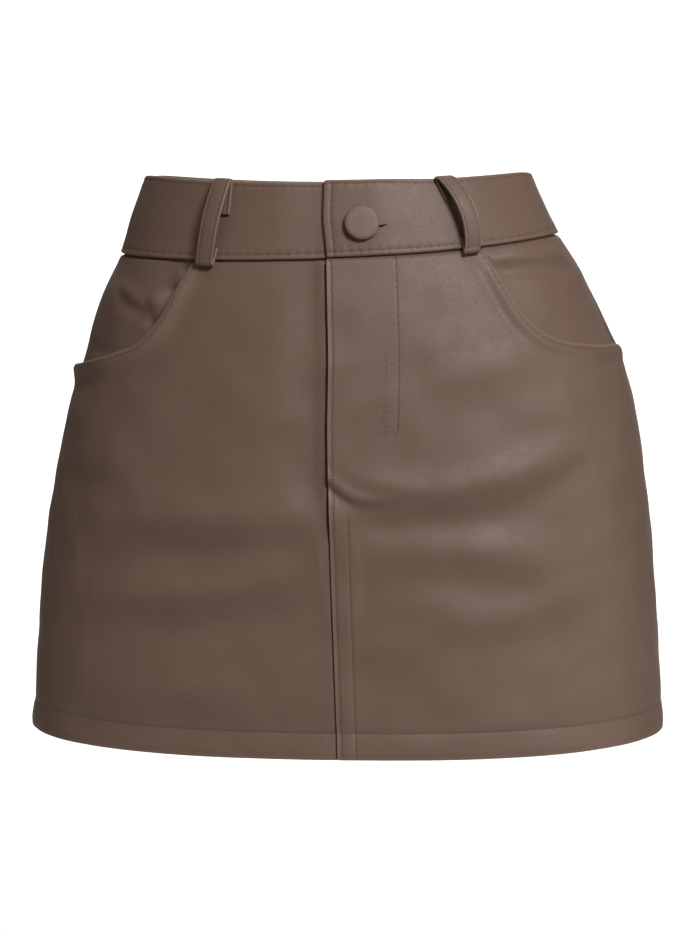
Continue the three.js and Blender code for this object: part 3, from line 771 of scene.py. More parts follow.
def pocketFacing(side):
    cut = facingCut
    fixed, share, mouthShare = frontColumns(side)
    keep = share >= mouthShare * cut["firstShare"]
    fixed, share = fixed[keep], share[keep]
    foot = frontTops(side, fixed, share, mouthShare) - cut["underlap"]
    run = np.arange(cut["rows"]) / (cut["rows"] - 1)
    level = sewnTop + run[:, None] * (foot[None, :] - sewnTop)
    across = frontAcross(fixed[None, :], share[None, :], level, 0.0)
    above = level - mouthLevel(side, across)
    seam = sideAcross("front", level)
    drop = (cut["drop"] - ease(seam - 45, seam - 10, across)) * (1 - ease(cut["deep"], cut["level"], above))
    shape = facingShape(side, across, level)
    shape = np.where(shape > 0, shape * ease(1, 7, above), shape * ease(-8, 0, above))
    out = underBand(side, across, level, shape - drop, 1.7 * (1 - ease(0.5, 7, above)))
    blank = np.full(level.shape, farRow)
    carried = {"rowA": blank, "rowB": blank, "rowC": blank, "wear": 0 * blank}
    if side < 0:
        level, out, across = level[:, ::-1], out[:, ::-1], across[:, ::-1]
    name = "left_pocket_facing" if side > 0 else "right_pocket_facing"
    thick = np.full(level.shape, cut["thick"])
    made = leatherWall(name, side * across, level, out, thick, [leather, flesh], carried, 0.35)
    return rideAndSlot(made, "leather", "pocket_facing_left" if side > 0 else "pocket_facing_right")


leftFacing = pocketFacing(1)
rightFacing = pocketFacing(-1)
print("pocket facings made")

# Back panels, with a dart each
backCut = {"columns": 116, "rows": 140, "hemRows": 16, "dartAcross": 62, "dartFoot": -112}


def backPanel(side):
    cut = backCut
    run = np.arange(cut["rows"]) / (cut["rows"] - 1)
    upper = sewnTop + run * (hemFold + 1 - sewnTop)
    level = np.concatenate([upper, np.linspace(hemFold, hemFoot, cut["hemRows"])])[:, None]
    seam = sideAcross("back", level) - seamGap / 2
    share = np.arange(cut["columns"]) / (cut["columns"] - 1)
    across = seamGap / 2 + share[None, :] * (seam - seamGap / 2)
    level = level + 0 * across
    dart = across - (cut["dartAcross"] + 0.08 * (level - panelTop))
    dartOn = ease(cut["dartFoot"], cut["dartFoot"] + 30, level)
    out = hemRelief(level) - 0.5 * bell(0, 1.6, dart) * dartOn
    out = out + 0.35 * bell(4, 3.2, dart) * dartOn - 0.3 * bell(0, 1.5, across) + 0.3 * bell(5, 3.5, across)
    out = underBand(side, 100 + 0 * across, level, out)
    rowA = np.full(level.shape, farRow)
    rowB = np.where(dartOn > 0.3, dart, farRow)
    rowC = np.where(level < hemFold + 20, level - (hemFoot + frontCut["hemRow"]), farRow)
    # Pale at the hem edge and the centre back edge: partly wear, partly painted highlight
    wear = 0.5 * bell(hemFoot, 1.5, level) + 0.25 * bell(0.5, 1.2, across)
    around = side * (sideAcross("front", level) + sideAcross("back", level) - across)
    carried = {"rowA": rowA, "rowB": rowB, "rowC": rowC, "wear": wear}
    if side > 0:
        around, level, out = around[:, ::-1], level[:, ::-1], out[:, ::-1]
        carried = {label: values[:, ::-1] for label, values in carried.items()}
    name = "left_back_leather" if side > 0 else "right_back_leather"
    made = leatherWall(name, around, level, out, panelThick(level), [leather, flesh], carried)
    return rideAndSlot(made, "leather", "back_left" if side > 0 else "back_right")


leftBack = backPanel(1)
rightBack = backPanel(-1)
print("back panels made")

# Waistband halves: a rounded section swept round the ring

def bandSection():
    cut = bandCut
    half, r = cut["thick"] / 2, cut["round"]
    face = np.linspace(bandTop - r, bandFoot + r, cut["faceSteps"])
    turn = np.linspace(0, np.pi / 2, 5)
    points = [(half, level) for level in face]
    points += [(half - r + r * math.cos(a), bandFoot + r - r * math.sin(a)) for a in turn[1:]]
    points += [(-half + r - r * math.sin(a), bandFoot + r - r * math.cos(a)) for a in turn]
    points += [(-half, level) for level in face[::-3]]
    points += [(-half + r - r * math.cos(a), bandTop - r + r * math.sin(a)) for a in turn[1:]]
    points += [(half - r + r * math.sin(a), bandTop - r + r * math.cos(a)) for a in turn[:-1]]
    return np.array(points)


def sweep(name, around, level, out, materials, kinds, carried):
    stations, ring = around.shape
    points = clothPoint(around, level, out).reshape(-1, 3)
    corner = np.arange(stations - 1)[:, None] * ring + np.arange(ring)[None, :]
    after = np.arange(stations - 1)[:, None] * ring + (np.arange(ring)[None, :] + 1) % ring
    quads = np.stack([corner, after, after + ring, corner + ring], axis=-1).reshape(-1, 4)
    faces = quads.tolist()
    faces.append(list(range(ring))[::-1])
    faces.append([(stations - 1) * ring + k for k in range(ring)])
    every = np.concatenate([np.tile(kinds, stations - 1), [0, 0]])
    made = makeObject(name, points, faces, materials, every, around, level, carried)
    mesh = made.data
    work = bmesh.new()
    work.from_mesh(mesh)
    bmesh.ops.triangulate(work, faces=[face for face in work.faces if len(face.verts) > 4])
    bmesh.ops.recalc_face_normals(work, faces=work.faces)
    work.to_mesh(mesh)
    work.free()
    return made


# Relief of the band's face: a soft swell, pulled in along its stitch rows
def bandRelief(side, round_, level, run):
    cut = bandCut
    footRow, topRow = bandFoot + cut["footRow"], bandTop - cut["topRow"]
    out = 0.35 * bell(1, 9, level) - 0.3 * bell(footRow, 1.6, level) - 0.25 * bell(topRow, 1.6, level)
    ripple = np.sin(round_ * 2 * np.pi / 6.1 + 2 * np.sin(round_ / 31))
    out = out + 0.13 * ripple * (bell(footRow + 0.6, 2.4, level) + 0.6 * bell(topRow - 0.6, 2.4, level))
    if side > 0:
        out = out - 0.3 * bell(cut["lapRow"], 1.4, run) - 0.5 * bell(17.3, 11, round_) * bell(-2, 12, level)
    return out


def waistband(side):
    cut = bandCut
    section = bandSection()
    sectionOut, sectionLevel = section[None, :, 0], section[None, :, 1]
    whole = sideAcross("front", sectionLevel) + sideAcross("back", sectionLevel) - seamGap / 2
    if side > 0:
        start = edgeAt(sectionLevel) - cut["lapBow"] * bell(2, 13, sectionLevel)
    else:
        start = np.full(sectionLevel.shape, -float(cut["tuck"]))
    ends = cut["round"] * (1 - np.cos(np.linspace(0, np.pi / 2, cut["endSteps"])))
    length = whole - start
    body = (np.arange(cut["columns"]) / (cut["columns"] - 1)) ** 1.06
    firstRun = np.repeat(ends[:-1, None], section.shape[0], axis=1)
    bodyRun = cut["round"] + body[:, None] * (length - 2 * cut["round"])
    lastRun = length - firstRun[::-1]
    run = np.concatenate([firstRun, bodyRun, lastRun])
    gap = np.minimum(run, length - run)
    gone = np.clip(cut["round"] - gap, 0, None)
    inset = cut["round"] - np.sqrt(np.clip(cut["round"] ** 2 - gone**2, 0, None))
    round_ = start + run
    half = cut["thick"] / 2
    middleLevel = (bandTop + bandFoot) / 2
    reach = (bandTop - bandFoot) / 2
    level = middleLevel + (sectionLevel - middleLevel) * (1 - inset / reach) + 0 * run
    faceOn = ease(-half, half, sectionOut)
    relief_ = bandRelief(side, round_, level, run)
    out = bandOuter(side, round_) - half + sectionOut * (1 - inset / half) + relief_ * faceOn
    blank = np.full(run.shape, farRow)
    # Pale along the band's top and foot edges and its lapping end: partly wear, partly painted highlight on
    # the rounded edges
    wear = 0.55 * bell(bandTop, 1.6, level) + 0.45 * bell(bandFoot, 1.2, level)
    rowC = blank
    if side > 0:
        rowC = run - cut["lapRow"]
        wear = wear + 0.5 * bell(0, 1.3, run)
    carried = {"rowA": level - (bandFoot + cut["footRow"]), "rowB": level - (bandTop - cut["topRow"]),
               "rowC": rowC, "wear": wear * faceOn}
    upper = ease(0, reach, level - middleLevel)
    if side > 0:
        level = level + cut["lapRise"] * upper * (1 - ease(30, 75, round_)) * ease(-3, 3, run)
    # The top edge falls a little as it turns at each side
    level = level - cut["corner"] * upper * bell(sideAcross("front", bandTop), 17, round_)
    kinds = np.zeros(len(section), int)
    name = "left_waistband" if side > 0 else "right_waistband"
    return sweep(name, side * round_, level, out, [leather], kinds, carried)


leftBand = waistband(1)
rightBand = waistband(-1)

buttonCut = {"across": 19.2, "level": -1.6, "radius": 10.4, "tall": 3.6, "clear": 0.5, "stem": 1.2,
             "tilt": (-0.1, -0.03),
             "holeFrom": -2.7, "holeTo": 14.4, "holeHalf": 0.6, "holeSag": 1.9}


# A straight frame on the cloth: its place and its ways round, up and out, in millimetres
def frameAt(around, level, out):
    spot = (np.array([float(around)]), np.array([float(level)]))
    normal = outward(*spot)[0]
    place = clothPoint(around, level, out).reshape(3)
    round_ = np.array([-normal[1], normal[0], 0])
    round_ = round_ / np.linalg.norm(round_)
    return place, round_, np.cross(normal, round_), normal


def inFrame(frameParts, points):
    place, round_, up, normal = frameParts
    points = np.asarray(points, float)
    return place + points[:, :1] * round_ + points[:, 1:2] * up + points[:, 2:3] * normal


# The buttonhole: a narrow slot cut through the lapping half, pulled down a little beside the button
def cutButtonhole(band):
    cut = buttonCut
    along = np.linspace(cut["holeFrom"], cut["holeTo"], 16)
    middle = -cut["holeSag"] * bell(9.5, 5, along)
    share = np.linspace(-1, 1, 16)
    half = cut["holeHalf"] * np.sqrt(np.clip(1.04 - share**6, 0, None))
    outline = list(zip(along, middle - half)) + list(zip(along[::-1], (middle + half)[::-1]))
    deep = 9
    points = [(x, y, -deep) for x, y in outline] + [(x, y, deep) for x, y in outline]
    count = len(outline)
    faces = [[k, (k + 1) % count, count + (k + 1) % count, count + k] for k in range(count)]
    faces += [list(range(count))[::-1], list(range(count, 2 * count))]
    cutter = makeObject("slot_cutter", inFrame(frameAt(cut["across"], cut["level"], 0), points),
                        faces, [flesh])
    work = band.modifiers.new("buttonhole", "BOOLEAN")
    work.operation = "DIFFERENCE"
    work.solver = "EXACT"
    work.object = cutter
    plainMesh(band)
    bpy.data.objects.remove(cutter)


cutButtonhole(leftBand)
rideAndSlot(leftBand, "leather", "waistband_left")
rideAndSlot(rightBand, "leather", "waistband_right")
print("waistband made")


# The covered button: leather drawn over a flat disc, with a rolled rim and a stem
def buttonPiece():
    cut = buttonCut
    under = bandOuter(1, cut["across"]) + cut["clear"]
    face = under + cut["tall"]
    rim = 1.9
    foot = bandCut["underOut"] + seamGap
    profile = [(cut["stem"], foot), (cut["stem"], under - 0.2), (cut["stem"] + 1.2, under)]
    profile += [(radius, under) for radius in (4, 6, 8)]
    turn = np.linspace(-np.pi / 2, np.pi / 2, 14)
    middle, halfTall = under + cut["tall"] / 2 - 0.1, cut["tall"] / 2 - 0.15
    profile += [(cut["radius"] - rim + rim * math.cos(a), middle + halfTall * math.sin(a)) for a in turn]
    for radius in np.linspace(cut["radius"] - rim - 0.6, 0.4, 12):
        dome = 0.35 * math.cos(radius / cut["radius"] * math.pi / 2)
        profile.append((radius, face - 0.35 + dome + 0.06 * math.exp(-((radius - 8.4) / 0.9) ** 2)))
    turns = 72
    tiltRound, tiltUp = cut["tilt"]
    points, around, level = [], [], []
    for radius, height in profile:
        for k in range(turns):
            angle = 2 * math.pi * k / turns
            pull = 1 + 0.004 * math.sin(9 * angle) * (height < face - 2)
            x, y = radius * pull * math.cos(angle), radius * pull * math.sin(angle)
            points.append((x, y, height + (tiltRound * x + tiltUp * y) * (height > under - 0.1)))
            around.append(300 + radius * math.cos(angle))
            level.append(radius * math.sin(angle) + height)
    rows = len(profile)
    faces = []
    for j in range(rows - 1):
        for k in range(turns):
            after = (k + 1) % turns
            faces.append([j * turns + k, j * turns + after, (j + 1) * turns + after, (j + 1) * turns + k])
    faces.append(list(range(turns))[::-1])
    faces.append([(rows - 1) * turns + k for k in range(turns)])
    heights = np.array([p[2] for p in points])
    radii = np.hypot([p[0] for p in points], [p[1] for p in points])
    # Pale round the top of the rolled rim: partly wear, partly painted highlight
    wear = 0.45 * np.exp(-(((radii - 9.9) / 0.9) ** 2)) * (heights > face - 2.6)
    blank = np.full(len(points), farRow)
    made = makeObject("button_leather", inFrame(frameAt(cut["across"], cut["level"], 0), points),
                      faces, [leather], None,
                      np.array(around), np.array(level),
                      {"rowA": blank, "rowB": blank, "rowC": blank, "wear": wear})
    return rideAndSlot(made, "leather", "button")


buttonPiece()

# Belt loops: a folded strap, tails turned under, bulging off the band
loopCut = {"wide": 10.6, "thick": 2.0, "lowTail": 8, "fold": 1.4, "low": -22, "row": 1.8}
loopColumns = ("name", "node", "front", "high", "low", "top", "bow", "bulge", "tail", "tailShift")
loops = (
    ("front_left_loop", "belt_loop_front_left", True, 70.2, 84, 22.2, 3.6, 6, 14, 6.0),
    ("front_right_loop", "belt_loop_front_right", True, -62, -76, 22.2, 0.3, 4.2, 18, -3.0),
    ("side_left_loop", "belt_loop_side_left", False, 106, 111, 19.5, 1.2, 5, 15, 0.6),
    ("side_right_loop", "belt_loop_side_right", False, -106, -111, 19.5, -1.2, 5, 15, -0.6),
    ("back_loop", "belt_loop_back", False, 0, 0, 19.5, 0.8, 5.5, 15, 0.4),
)


# Where a loop's middle runs: it bows between its ends, and its upper tail hangs straighter behind it
def loopMiddle(path, shape):
    lean = np.clip((shape["top"] - path[:, 1]) / (shape["top"] - loopCut["low"]), 0, 1)
    strap = shape["high"] + lean * (shape["low"] - shape["high"]) + shape["bow"] * np.sin(np.pi * lean) ** 0.7
    tail = shape["high"] + shape["tailShift"] * (shape["top"] - path[:, 1]) / shape["tail"]
    return np.where(np.arange(len(path)) < shape["tail"] + 4, tail, strap)


def loopPath(shape):
    cut, top = loopCut, shape["top"]
    seat = bandCut["out"] + seamGap + cut["thick"] / 2
    crest = seat + 2 * cut["fold"]
    path = [(seat, top - shape["tail"] + k * 1.0) for k in range(shape["tail"])]
    for angle in np.linspace(np.pi, 0, 12):
        path.append((seat + cut["fold"] * (1 + math.cos(angle)), top + cut["fold"] * math.sin(angle)))
    for share in np.linspace(0, 1, 42)[1:-1]:
        out = crest + shape["bulge"] * math.sin(math.pi * share) ** 0.8
        path.append((out, top + share * (cut["low"] - top)))
    for angle in np.linspace(0, np.pi, 12):
        path.append((seat + cut["fold"] * (1 + math.cos(angle)), cut["low"] - cut["fold"] * math.sin(angle)))
    path += [(seat, cut["low"] + k * 1.0) for k in range(1, cut["lowTail"] + 1)]
    return np.array(path)


def loopAround(front, place, level):
    if front:
        return place
    return sideAcross("front", level) + sideAcross("back", level) - place


def beltLoop(shape):
    cut = loopCut
    path = loopPath(shape)
    run = np.gradient(path, axis=0)
    run = run / np.linalg.norm(run, axis=1, keepdims=True)
    normal = np.stack([-run[:, 1], run[:, 0]], axis=1)
    half, wide, r = cut["thick"] / 2, cut["wide"] / 2, 0.85
    flat = np.linspace(-wide + r, wide - r, 15)
    turn = np.linspace(0, np.pi / 2, 5)
    section = [(x, half) for x in flat]
    section += [(wide - r + r * math.sin(a), half - r + r * math.cos(a)) for a in turn[1:]]
    section += [(wide - r + r * math.cos(a), -half + r - r * math.sin(a)) for a in turn]
    section += [(x, -half) for x in flat[::-1][1:]]
    section += [(-wide + r - r * math.sin(a), -half + r - r * math.cos(a)) for a in turn[1:]]
    section += [(-wide + r - r * math.cos(a), half - r + r * math.sin(a)) for a in turn[:-1]]
    section = np.array(section)
    side = section[None, :, 0]
    height = section[None, :, 1] * (1 + 0.1 * bell(0, 3.4, side)
                                    - 0.14 * bell(wide - cut["row"], 0.8, np.abs(side)))
    out = path[:, :1] + normal[:, :1] * height
    level = path[:, 1:] + normal[:, 1:] * height
    place = loopMiddle(path, shape)[:, None] + side * (1 + 0.03 * np.sin(path[:, 1:] / 9))
    around = loopAround(shape["front"], place, level)
    down = np.concatenate([[0], np.cumsum(np.linalg.norm(np.diff(path, axis=0), axis=1))])[:, None]
    blank = np.full(out.shape, farRow)
    # Pale along the strap's edges: partly wear, partly painted highlight
    carried = {"rowA": np.abs(side) - (wide - cut["row"]) + 0 * out, "rowB": blank, "rowC": blank,
               "wear": 0.6 * bell(wide, 0.9, np.abs(side)) + 0 * out}
    made = sweep(shape["name"], around, level, out, [leather], np.zeros(len(section), int), carried)
    layer = made.data.uv_layers["cloth"]
    corners = np.empty(len(made.data.loops), np.int32)
    made.data.loops.foreach_get("vertex_index", corners)
    flatPlaces = np.stack([(place + 0 * out).ravel(), (down + 0 * out).ravel()], axis=-1)[corners] * metre
    layer.data.foreach_set("uv", flatPlaces.astype(np.float32).ravel())
    return rideAndSlot(made, "leather", shape["node"])


loopShapes = [dict(zip(loopColumns, row)) for row in loops]
loopPieces = [beltLoop(shape) for shape in loopShapes]
print("button and belt loops made")

# The zip behind the fly
zipCut = {"chain": 14, "chainWide": 5, "chainOut": -1.7, "chainThick": 2.0,
          "chainTop": -36, "chainFoot": -150,
          "tapeOut": -1.8, "tapeThick": 0.7, "tapeTop": -21, "tapeFoot": -154, "rightFrom": -12, "leftTo": 38}


def strip(name, start, end, top, foot, out, thick, material, steps, rows, soft):
    across = np.linspace(start, end, steps)[None, :] + np.zeros((rows, 1))
    level = np.linspace(top, foot, rows)[:, None] + np.zeros((1, steps))
    blank = np.full(level.shape, farRow)
    carried = {"rowA": blank, "rowB": blank, "rowC": blank, "wear": 0 * blank}
    return leatherWall(name, across, level, np.full(level.shape, float(out)),
                       np.full(level.shape, float(thick)),
                       [material, material], carried, soft)


def zipPieces():
    cut = zipCut
    left, right = cut["chain"] - cut["chainWide"] / 2, cut["chain"] + cut["chainWide"] / 2
    tapes = []
    for name, start, end, node in (("right_zip_tape", cut["rightFrom"], left - seamGap, "zip_tape_right"),
                                   ("left_zip_tape", right + seamGap, cut["leftTo"], "zip_tape_left")):
        made = strip(name, start, end, cut["tapeTop"], cut["tapeFoot"], cut["tapeOut"],
                     cut["tapeThick"], tape,
                     14, 80, 0.15)
        tapes.append(rideAndSlot(made, "zip_tape", node))
    sliderTop, sliderFoot, wide = -24, cut["chainTop"] + seamGap, cut["chainWide"] - 0.4
    slider = strip("zip_slider_body", cut["chain"] - wide / 2, cut["chain"] + wide / 2,
                   sliderTop, sliderFoot, -0.6,
                   4.0, paint, 8, 12, 0.5)
    rideAndSlot(slider, "zip_metal", "zip_slider")
    tabTop = sliderFoot - seamGap
    pull = strip("zip_pull_tab", cut["chain"] - 2, cut["chain"] + 2, tabTop, tabTop - 22,
                 -0.6, 0.7, paint, 6, 14, 0.2)
    rideAndSlot(pull, "zip_metal", "zip_pull")
    return tapes


zipTapes = zipPieces()


# Geometry Nodes: small pieces set along paths, turned to the path and to the cloth
def pathTree(name, shape):
    tree = bpy.data.node_groups.new(name, "GeometryNodeTree")
    for label, kind, way in (("Paths", "NodeSocketGeometry", "INPUT"), ("Pitch", "NodeSocketFloat", "INPUT"),
                             ("Long", "NodeSocketFloat", "INPUT"), ("Wide", "NodeSocketFloat", "INPUT"),
                             ("Tall", "NodeSocketFloat", "INPUT"), ("Finish", "NodeSocketMaterial", "INPUT"),
                             ("Pieces", "NodeSocketGeometry", "OUTPUT")):
        tree.interface.new_socket(name=label, in_out=way, socket_type=kind)
    nodes, links = tree.nodes, tree.links
    given = nodes.new("NodeGroupInput")
    result = nodes.new("NodeGroupOutput")

    def add(kind, settings=None, **inputs):
        made = nodes.new(kind)
        for label, value in (settings or {}).items():
            setattr(made, label, value)
        for label, value in inputs.items():
            socket = made.inputs[label.replace("_", " ")]
            if isinstance(value, bpy.types.NodeSocket):
                links.new(value, socket)
            else:
                socket.default_value = value
        return made

    curve = add("GeometryNodeMeshToCurve", Mesh=given.outputs["Paths"])
    spaced = add("GeometryNodeResampleCurve", {"mode": "LENGTH"}, Curve=curve.outputs[0],
                 Length=given.outputs["Pitch"])
    along = add("GeometryNodeInputTangent")
    facing = add("GeometryNodeInputNamedAttribute", {"data_type": "FLOAT_VECTOR"}, Name="face")
    turned = add("FunctionNodeAlignRotationToVector", {"axis": "X"}, Vector=along.outputs[0])
    upright = add("FunctionNodeAlignRotationToVector", {"axis": "Z", "pivot_axis": "X"},
                  Rotation=turned.outputs[0], Vector=facing.outputs[0])
    size = add("ShaderNodeCombineXYZ", X=given.outputs["Long"], Y=given.outputs["Wide"],
               Z=given.outputs["Tall"])
    if shape == "stitch":
        piece = add("GeometryNodeMeshUVSphere", Segments=8, Rings=6, Radius=0.5)
    else:
        piece = add("GeometryNodeMeshCube", Vertices_X=2, Vertices_Y=3, Vertices_Z=2)
    scaled = add("GeometryNodeTransform", Geometry=piece.outputs[0], Scale=size.outputs[0])
    uneven = add("FunctionNodeRandomValue", {"data_type": "FLOAT"}, Seed=7)
    uneven.inputs[2].default_value = 0.88
    uneven.inputs[3].default_value = 1.06
    placed = add("GeometryNodeInstanceOnPoints", Points=spaced.outputs[0], Instance=scaled.outputs[0],
                 Rotation=upright.outputs[0], Scale=uneven.outputs[1])
    real = add("GeometryNodeRealizeInstances", Geometry=placed.outputs[0])
    smooth = add("GeometryNodeSetShadeSmooth", Geometry=real.outputs[0])
    done = add("GeometryNodeSetMaterial", Geometry=smooth.outputs[0], Material=given.outputs["Finish"])
    links.new(done.outputs[0], result.inputs[0])
    return tree


stitchTree = pathTree("stitches_along", "stitch")
toothTree = pathTree("teeth_along", "tooth")


def alongPaths(name, tree, paths, pitch, size, material):
    points, edges, faces = [], [], []
    for around, level, out in paths:
        around, level, out = np.broadcast_arrays(np.asarray(around, float), np.asarray(level, float), out)
        first = len(points)
        points += clothPoint(around, level, out).tolist()
        faces += outward(around, level).tolist()
        edges += [(first + k, first + k + 1) for k in range(len(around) - 1)]
    mesh = bpy.data.meshes.new(name)
    mesh.from_pydata((np.array(points) * metre).tolist(), edges, [])
    attribute = mesh.attributes.new("face", "FLOAT_VECTOR", "POINT")
    attribute.data.foreach_set("vector", np.array(faces, np.float32).ravel())
    made = bpy.data.objects.new(name, mesh)
    bpy.context.scene.collection.objects.link(made)
    nodes = made.modifiers.new("nodes", "NODES")
    nodes.node_group = tree
    given = {"Pitch": pitch * metre, "Long": size[0] * metre, "Wide": size[1] * metre,
             "Tall": size[2] * metre,
             "Finish": material}
    for item in tree.interface.items_tree:
        if item.in_out == "INPUT" and item.name in given:
            nodes[item.identifier] = given[item.name]
    return plainMesh(made)


# Stitch rows, as paths over the cloth
stitchCut = {"pitch": 4.2, "long": 2.6, "wide": 0.55, "tall": 0.5, "painted_groove_shade": -0.09, "tackPitch": 1.9}


def frontRow(across, level):
    side = 1 if across[len(across) // 2] > float(edgeAt(level).mean()) - 0.1 else -1
    return across, level, frontOut(side, side * across, level) + stitchCut["painted_groove_shade"]


def frontStitches():
    cut = frontCut
    paths = []
    for row, foot in ((cut["flyRows"][0], cut["flyRowFoot"]), (cut["flyRows"][1], cut["flyRowFoot"])):
        top = panelTop - 2 if row == cut["flyRows"][0] else cut["flyRowTop"]
        level = np.linspace(top, foot, 90)
        paths.append(frontRow(np.full(90, row), level))
    for row, top, foot in ((cut["seamRows"][0], panelTop - 2, flyFoot + 10),
                           (cut["seamRows"][0], flyFoot - 7, hemFoot + 6),
                           (cut["seamRows"][1], flyFoot - 14, hemFoot + 6)):
        level = np.linspace(top, foot, 160)
        paths.append(frontRow(edgeAt(level) + row, level))
    for side in (1, -1):
        across = np.linspace(cut["mouthStart"] - 4, 219, 260)
        slope = np.gradient(mouthLevel(side, across), across)
        size = np.hypot(1, slope)
        level = mouthLevel(side, across) - cut["mouthRow"] / size
        across = across + cut["mouthRow"] * slope / size
        keep = level < panelTop - 1.5
        paths.append(frontRow(side * across[keep], level[keep]))
    return paths


def hemStitches():
    level = hemFoot + frontCut["hemRow"]
    side = float(sideAcross("front", level))
    whole = side + float(sideAcross("back", level))
    seam = float(edgeAt(level))
    out = float(hemRelief(np.array(level))) + stitchCut["painted_groove_shade"]
    paths = [frontRow(np.linspace(seam + 16, side - 1, 300), np.full(300, level)),
             frontRow(np.linspace(1 - side, seam - 3, 300), np.full(300, level))]
    for sign in (1, -1):
        paths.append((sign * np.linspace(side + 1, whole - 1.5, 300), np.full(300, level), out))
    return paths


def bandStitches():
    cut = bandCut
    paths = []
    for side in (1, -1):
        for row in (bandFoot + cut["footRow"], bandTop - cut["topRow"]):
            length = float(sideAcross("front", row) + sideAcross("back", row))
            edge = float(edgeAt(row)) if side > 0 else 0.0
            around = np.linspace(edge + cut["lapRow"], length - 2, 500)
            level = np.full(500, float(row))
            out = bandOuter(side, around) + bandRelief(side, around, level, around - edge) + stitchCut["painted_groove_shade"]
            rise = cut["lapRise"] * ease(0, 21.5, level - 1.5) * (1 - ease(30, 75, around)) if side > 0 else 0
            paths.append((side * around, level + rise, out))
    level = np.linspace(bandTop - cut["topRow"], bandFoot + cut["footRow"], 60)
    around = edgeAt(level) - cut["lapBow"] * bell(2, 13, level) + cut["lapRow"]
    out = bandOuter(1, around) + bandRelief(1, around, level, np.full(60, cut["lapRow"])) + stitchCut["painted_groove_shade"]
    paths.append((around, level, out))
    return paths


def loopStitches():
    cut = loopCut
    reach = cut["thick"] / 2 - 0.2
    paths = []
    for shape in loopShapes:
        path = loopPath(shape)
        run = np.gradient(path, axis=0)
        run = run / np.linalg.norm(run, axis=1, keepdims=True)
        shown = slice(shape["tail"] + 6, len(path) - cut["lowTail"] - 6)
        for edge in (-1, 1):
            place = loopMiddle(path, shape) + edge * (cut["wide"] / 2 - cut["row"])
            level = path[:, 1] + reach * run[:, 0]
            around = loopAround(shape["front"], place, level)
            paths.append((around[shown], level[shown], (path[:, 0] - reach * run[:, 1])[shown]))
    return paths


# Short close tacks at the fly's foot and at the end of its inner row
def tackStitches():
    level = np.linspace(-139, -150, 30)
    lap = [frontRow(edgeAt(level) + place, level) for place in (1.5, 2.7)]
    level = np.linspace(-108, frontCut["flyRowFoot"], 30)
    return lap + [frontRow(np.full(30, frontCut["flyRows"][1] + place), level) for place in (-1.3, 1.3)]


stitchRows = {"hem": hemStitches(), "front": frontStitches(),
              "waistband": bandStitches(), "loops": loopStitches()}
stitchSize = (stitchCut["long"], stitchCut["wide"], stitchCut["tall"])
for label, paths in stitchRows.items():
    rideAndSlot(alongPaths("stitches_" + label, stitchTree, paths, stitchCut["pitch"],
                           stitchSize, thread), "thread")
tackSize = (0.9, 0.9, 0.4)
rideAndSlot(alongPaths("stitches_tack", stitchTree, tackStitches(), stitchCut["tackPitch"],
                       tackSize, thread), "thread")

chainPaths = []
for shift in (-0.75, 0.75):
    level = np.linspace(zipCut["chainTop"] - 0.6 - 0.4 * shift, zipCut["chainFoot"] + 0.6, 120)
    chainPaths.append((np.full(120, zipCut["chain"] + shift), level,
                       zipCut["chainOut"] - zipCut["chainThick"] / 2))
chain = alongPaths("zip_teeth_rows", toothTree, chainPaths, 1.9, (1.15, 3.2, 1.9), teeth)
rideAndSlot(chain, "zip_teeth", "zip_chain")
print("stitches and zip made")

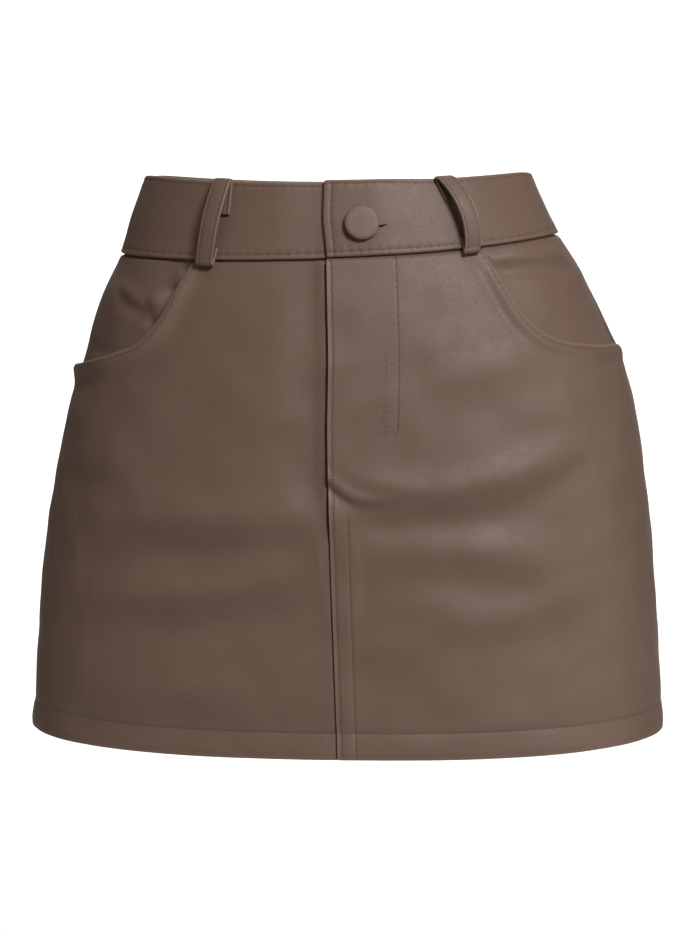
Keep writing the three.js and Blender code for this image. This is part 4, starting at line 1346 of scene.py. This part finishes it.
# A pale sweep and five soft lights: each a name, place, aim, size, power and colour
studio = {"floorZ": -0.62, "frontY": -0.5, "wallY": 2.62, "sweep": 0.7, "left": -1.0,
          "right": 0.65, "tall": 1.1,
          "shade": (0.86, 0.86, 0.86, 1)}
lights = (
    ("key", (1.05, -1.85, 1.3), (0, 0, -0.12), 0.7, 46, (1, 0.985, 0.97)),
    ("top", (0.1, -0.5, 1.8), (0, 0, -0.12), 0.9, 6, (1, 0.95, 0.9)),
    ("right", (2.2, -0.7, -0.1), (0.1, 0, -0.2), 0.9, 9, (1, 0.93, 0.86)),
    ("left", (-2.0, -1.5, -0.1), (-0.1, 0, -0.2), 1.2, 3.8, (1, 0.8, 0.64)),
    ("wall", (-0.2, 1.08, 1.5), (-0.2, 2.6, 0.1), 1.0, 68, (1, 1, 1)),
)


def makeStudio():
    steps = 24
    profile = [(studio["frontY"], studio["floorZ"])]
    for k in range(steps + 1):
        angle = k / steps * math.pi / 2
        profile.append((studio["wallY"] - studio["sweep"] + studio["sweep"] * math.sin(angle),
                        studio["floorZ"] + studio["sweep"] * (1 - math.cos(angle))))
    profile.append((studio["wallY"], studio["tall"]))
    points = [(x, y, z) for x in (studio["left"], studio["right"]) for y, z in profile]
    count = len(profile)
    faces = [[k, k + count, k + count + 1, k + 1] for k in range(count - 1)]
    mesh = bpy.data.meshes.new("sweep")
    mesh.from_pydata(points, [], faces)
    mesh.polygons.foreach_set("use_smooth", np.ones(len(mesh.polygons), bool))
    sweepPiece = bpy.data.objects.new("sweep", mesh)
    bpy.context.scene.collection.objects.link(sweepPiece)
    shader = Shader("studio_paper")
    place = shader.node("ShaderNodeTexCoord", output="Object")
    paper = shader.node("ShaderNodeTexNoise", {}, {"Vector": place, "Scale": 2.0}, "Fac")
    shade = studio["shade"]
    dim = tuple(0.985 * part for part in shade[:3]) + (1,)
    colour = shader.node("ShaderNodeMix", {"data_type": "RGBA"}, {0: paper, 6: shade, 7: dim}, 2)
    mesh.materials.append(shader.finish({}, colour, 0.9 + paper * 0.02, None))
    for name, place, aim, size, power, colour in lights:
        data = bpy.data.lights.new(name, "AREA")
        data.color = colour
        data.size = size
        data.energy = power
        lamp = bpy.data.objects.new(name, data)
        bpy.context.scene.collection.objects.link(lamp)
        lamp.location = place
        lamp.rotation_euler = (Vector(aim) - Vector(place)).to_track_quat("-Z", "Y").to_euler()
    world = bpy.data.worlds.new("air")
    world.use_nodes = True
    world.node_tree.nodes["Background"].inputs["Color"].default_value = (1.0, 0.82, 0.66, 1)
    world.node_tree.nodes["Background"].inputs["Strength"].default_value = 0.08
    bpy.context.scene.world = world
    bpy.context.scene.view_settings.view_transform = "Standard"


makeStudio()
print("studio made")
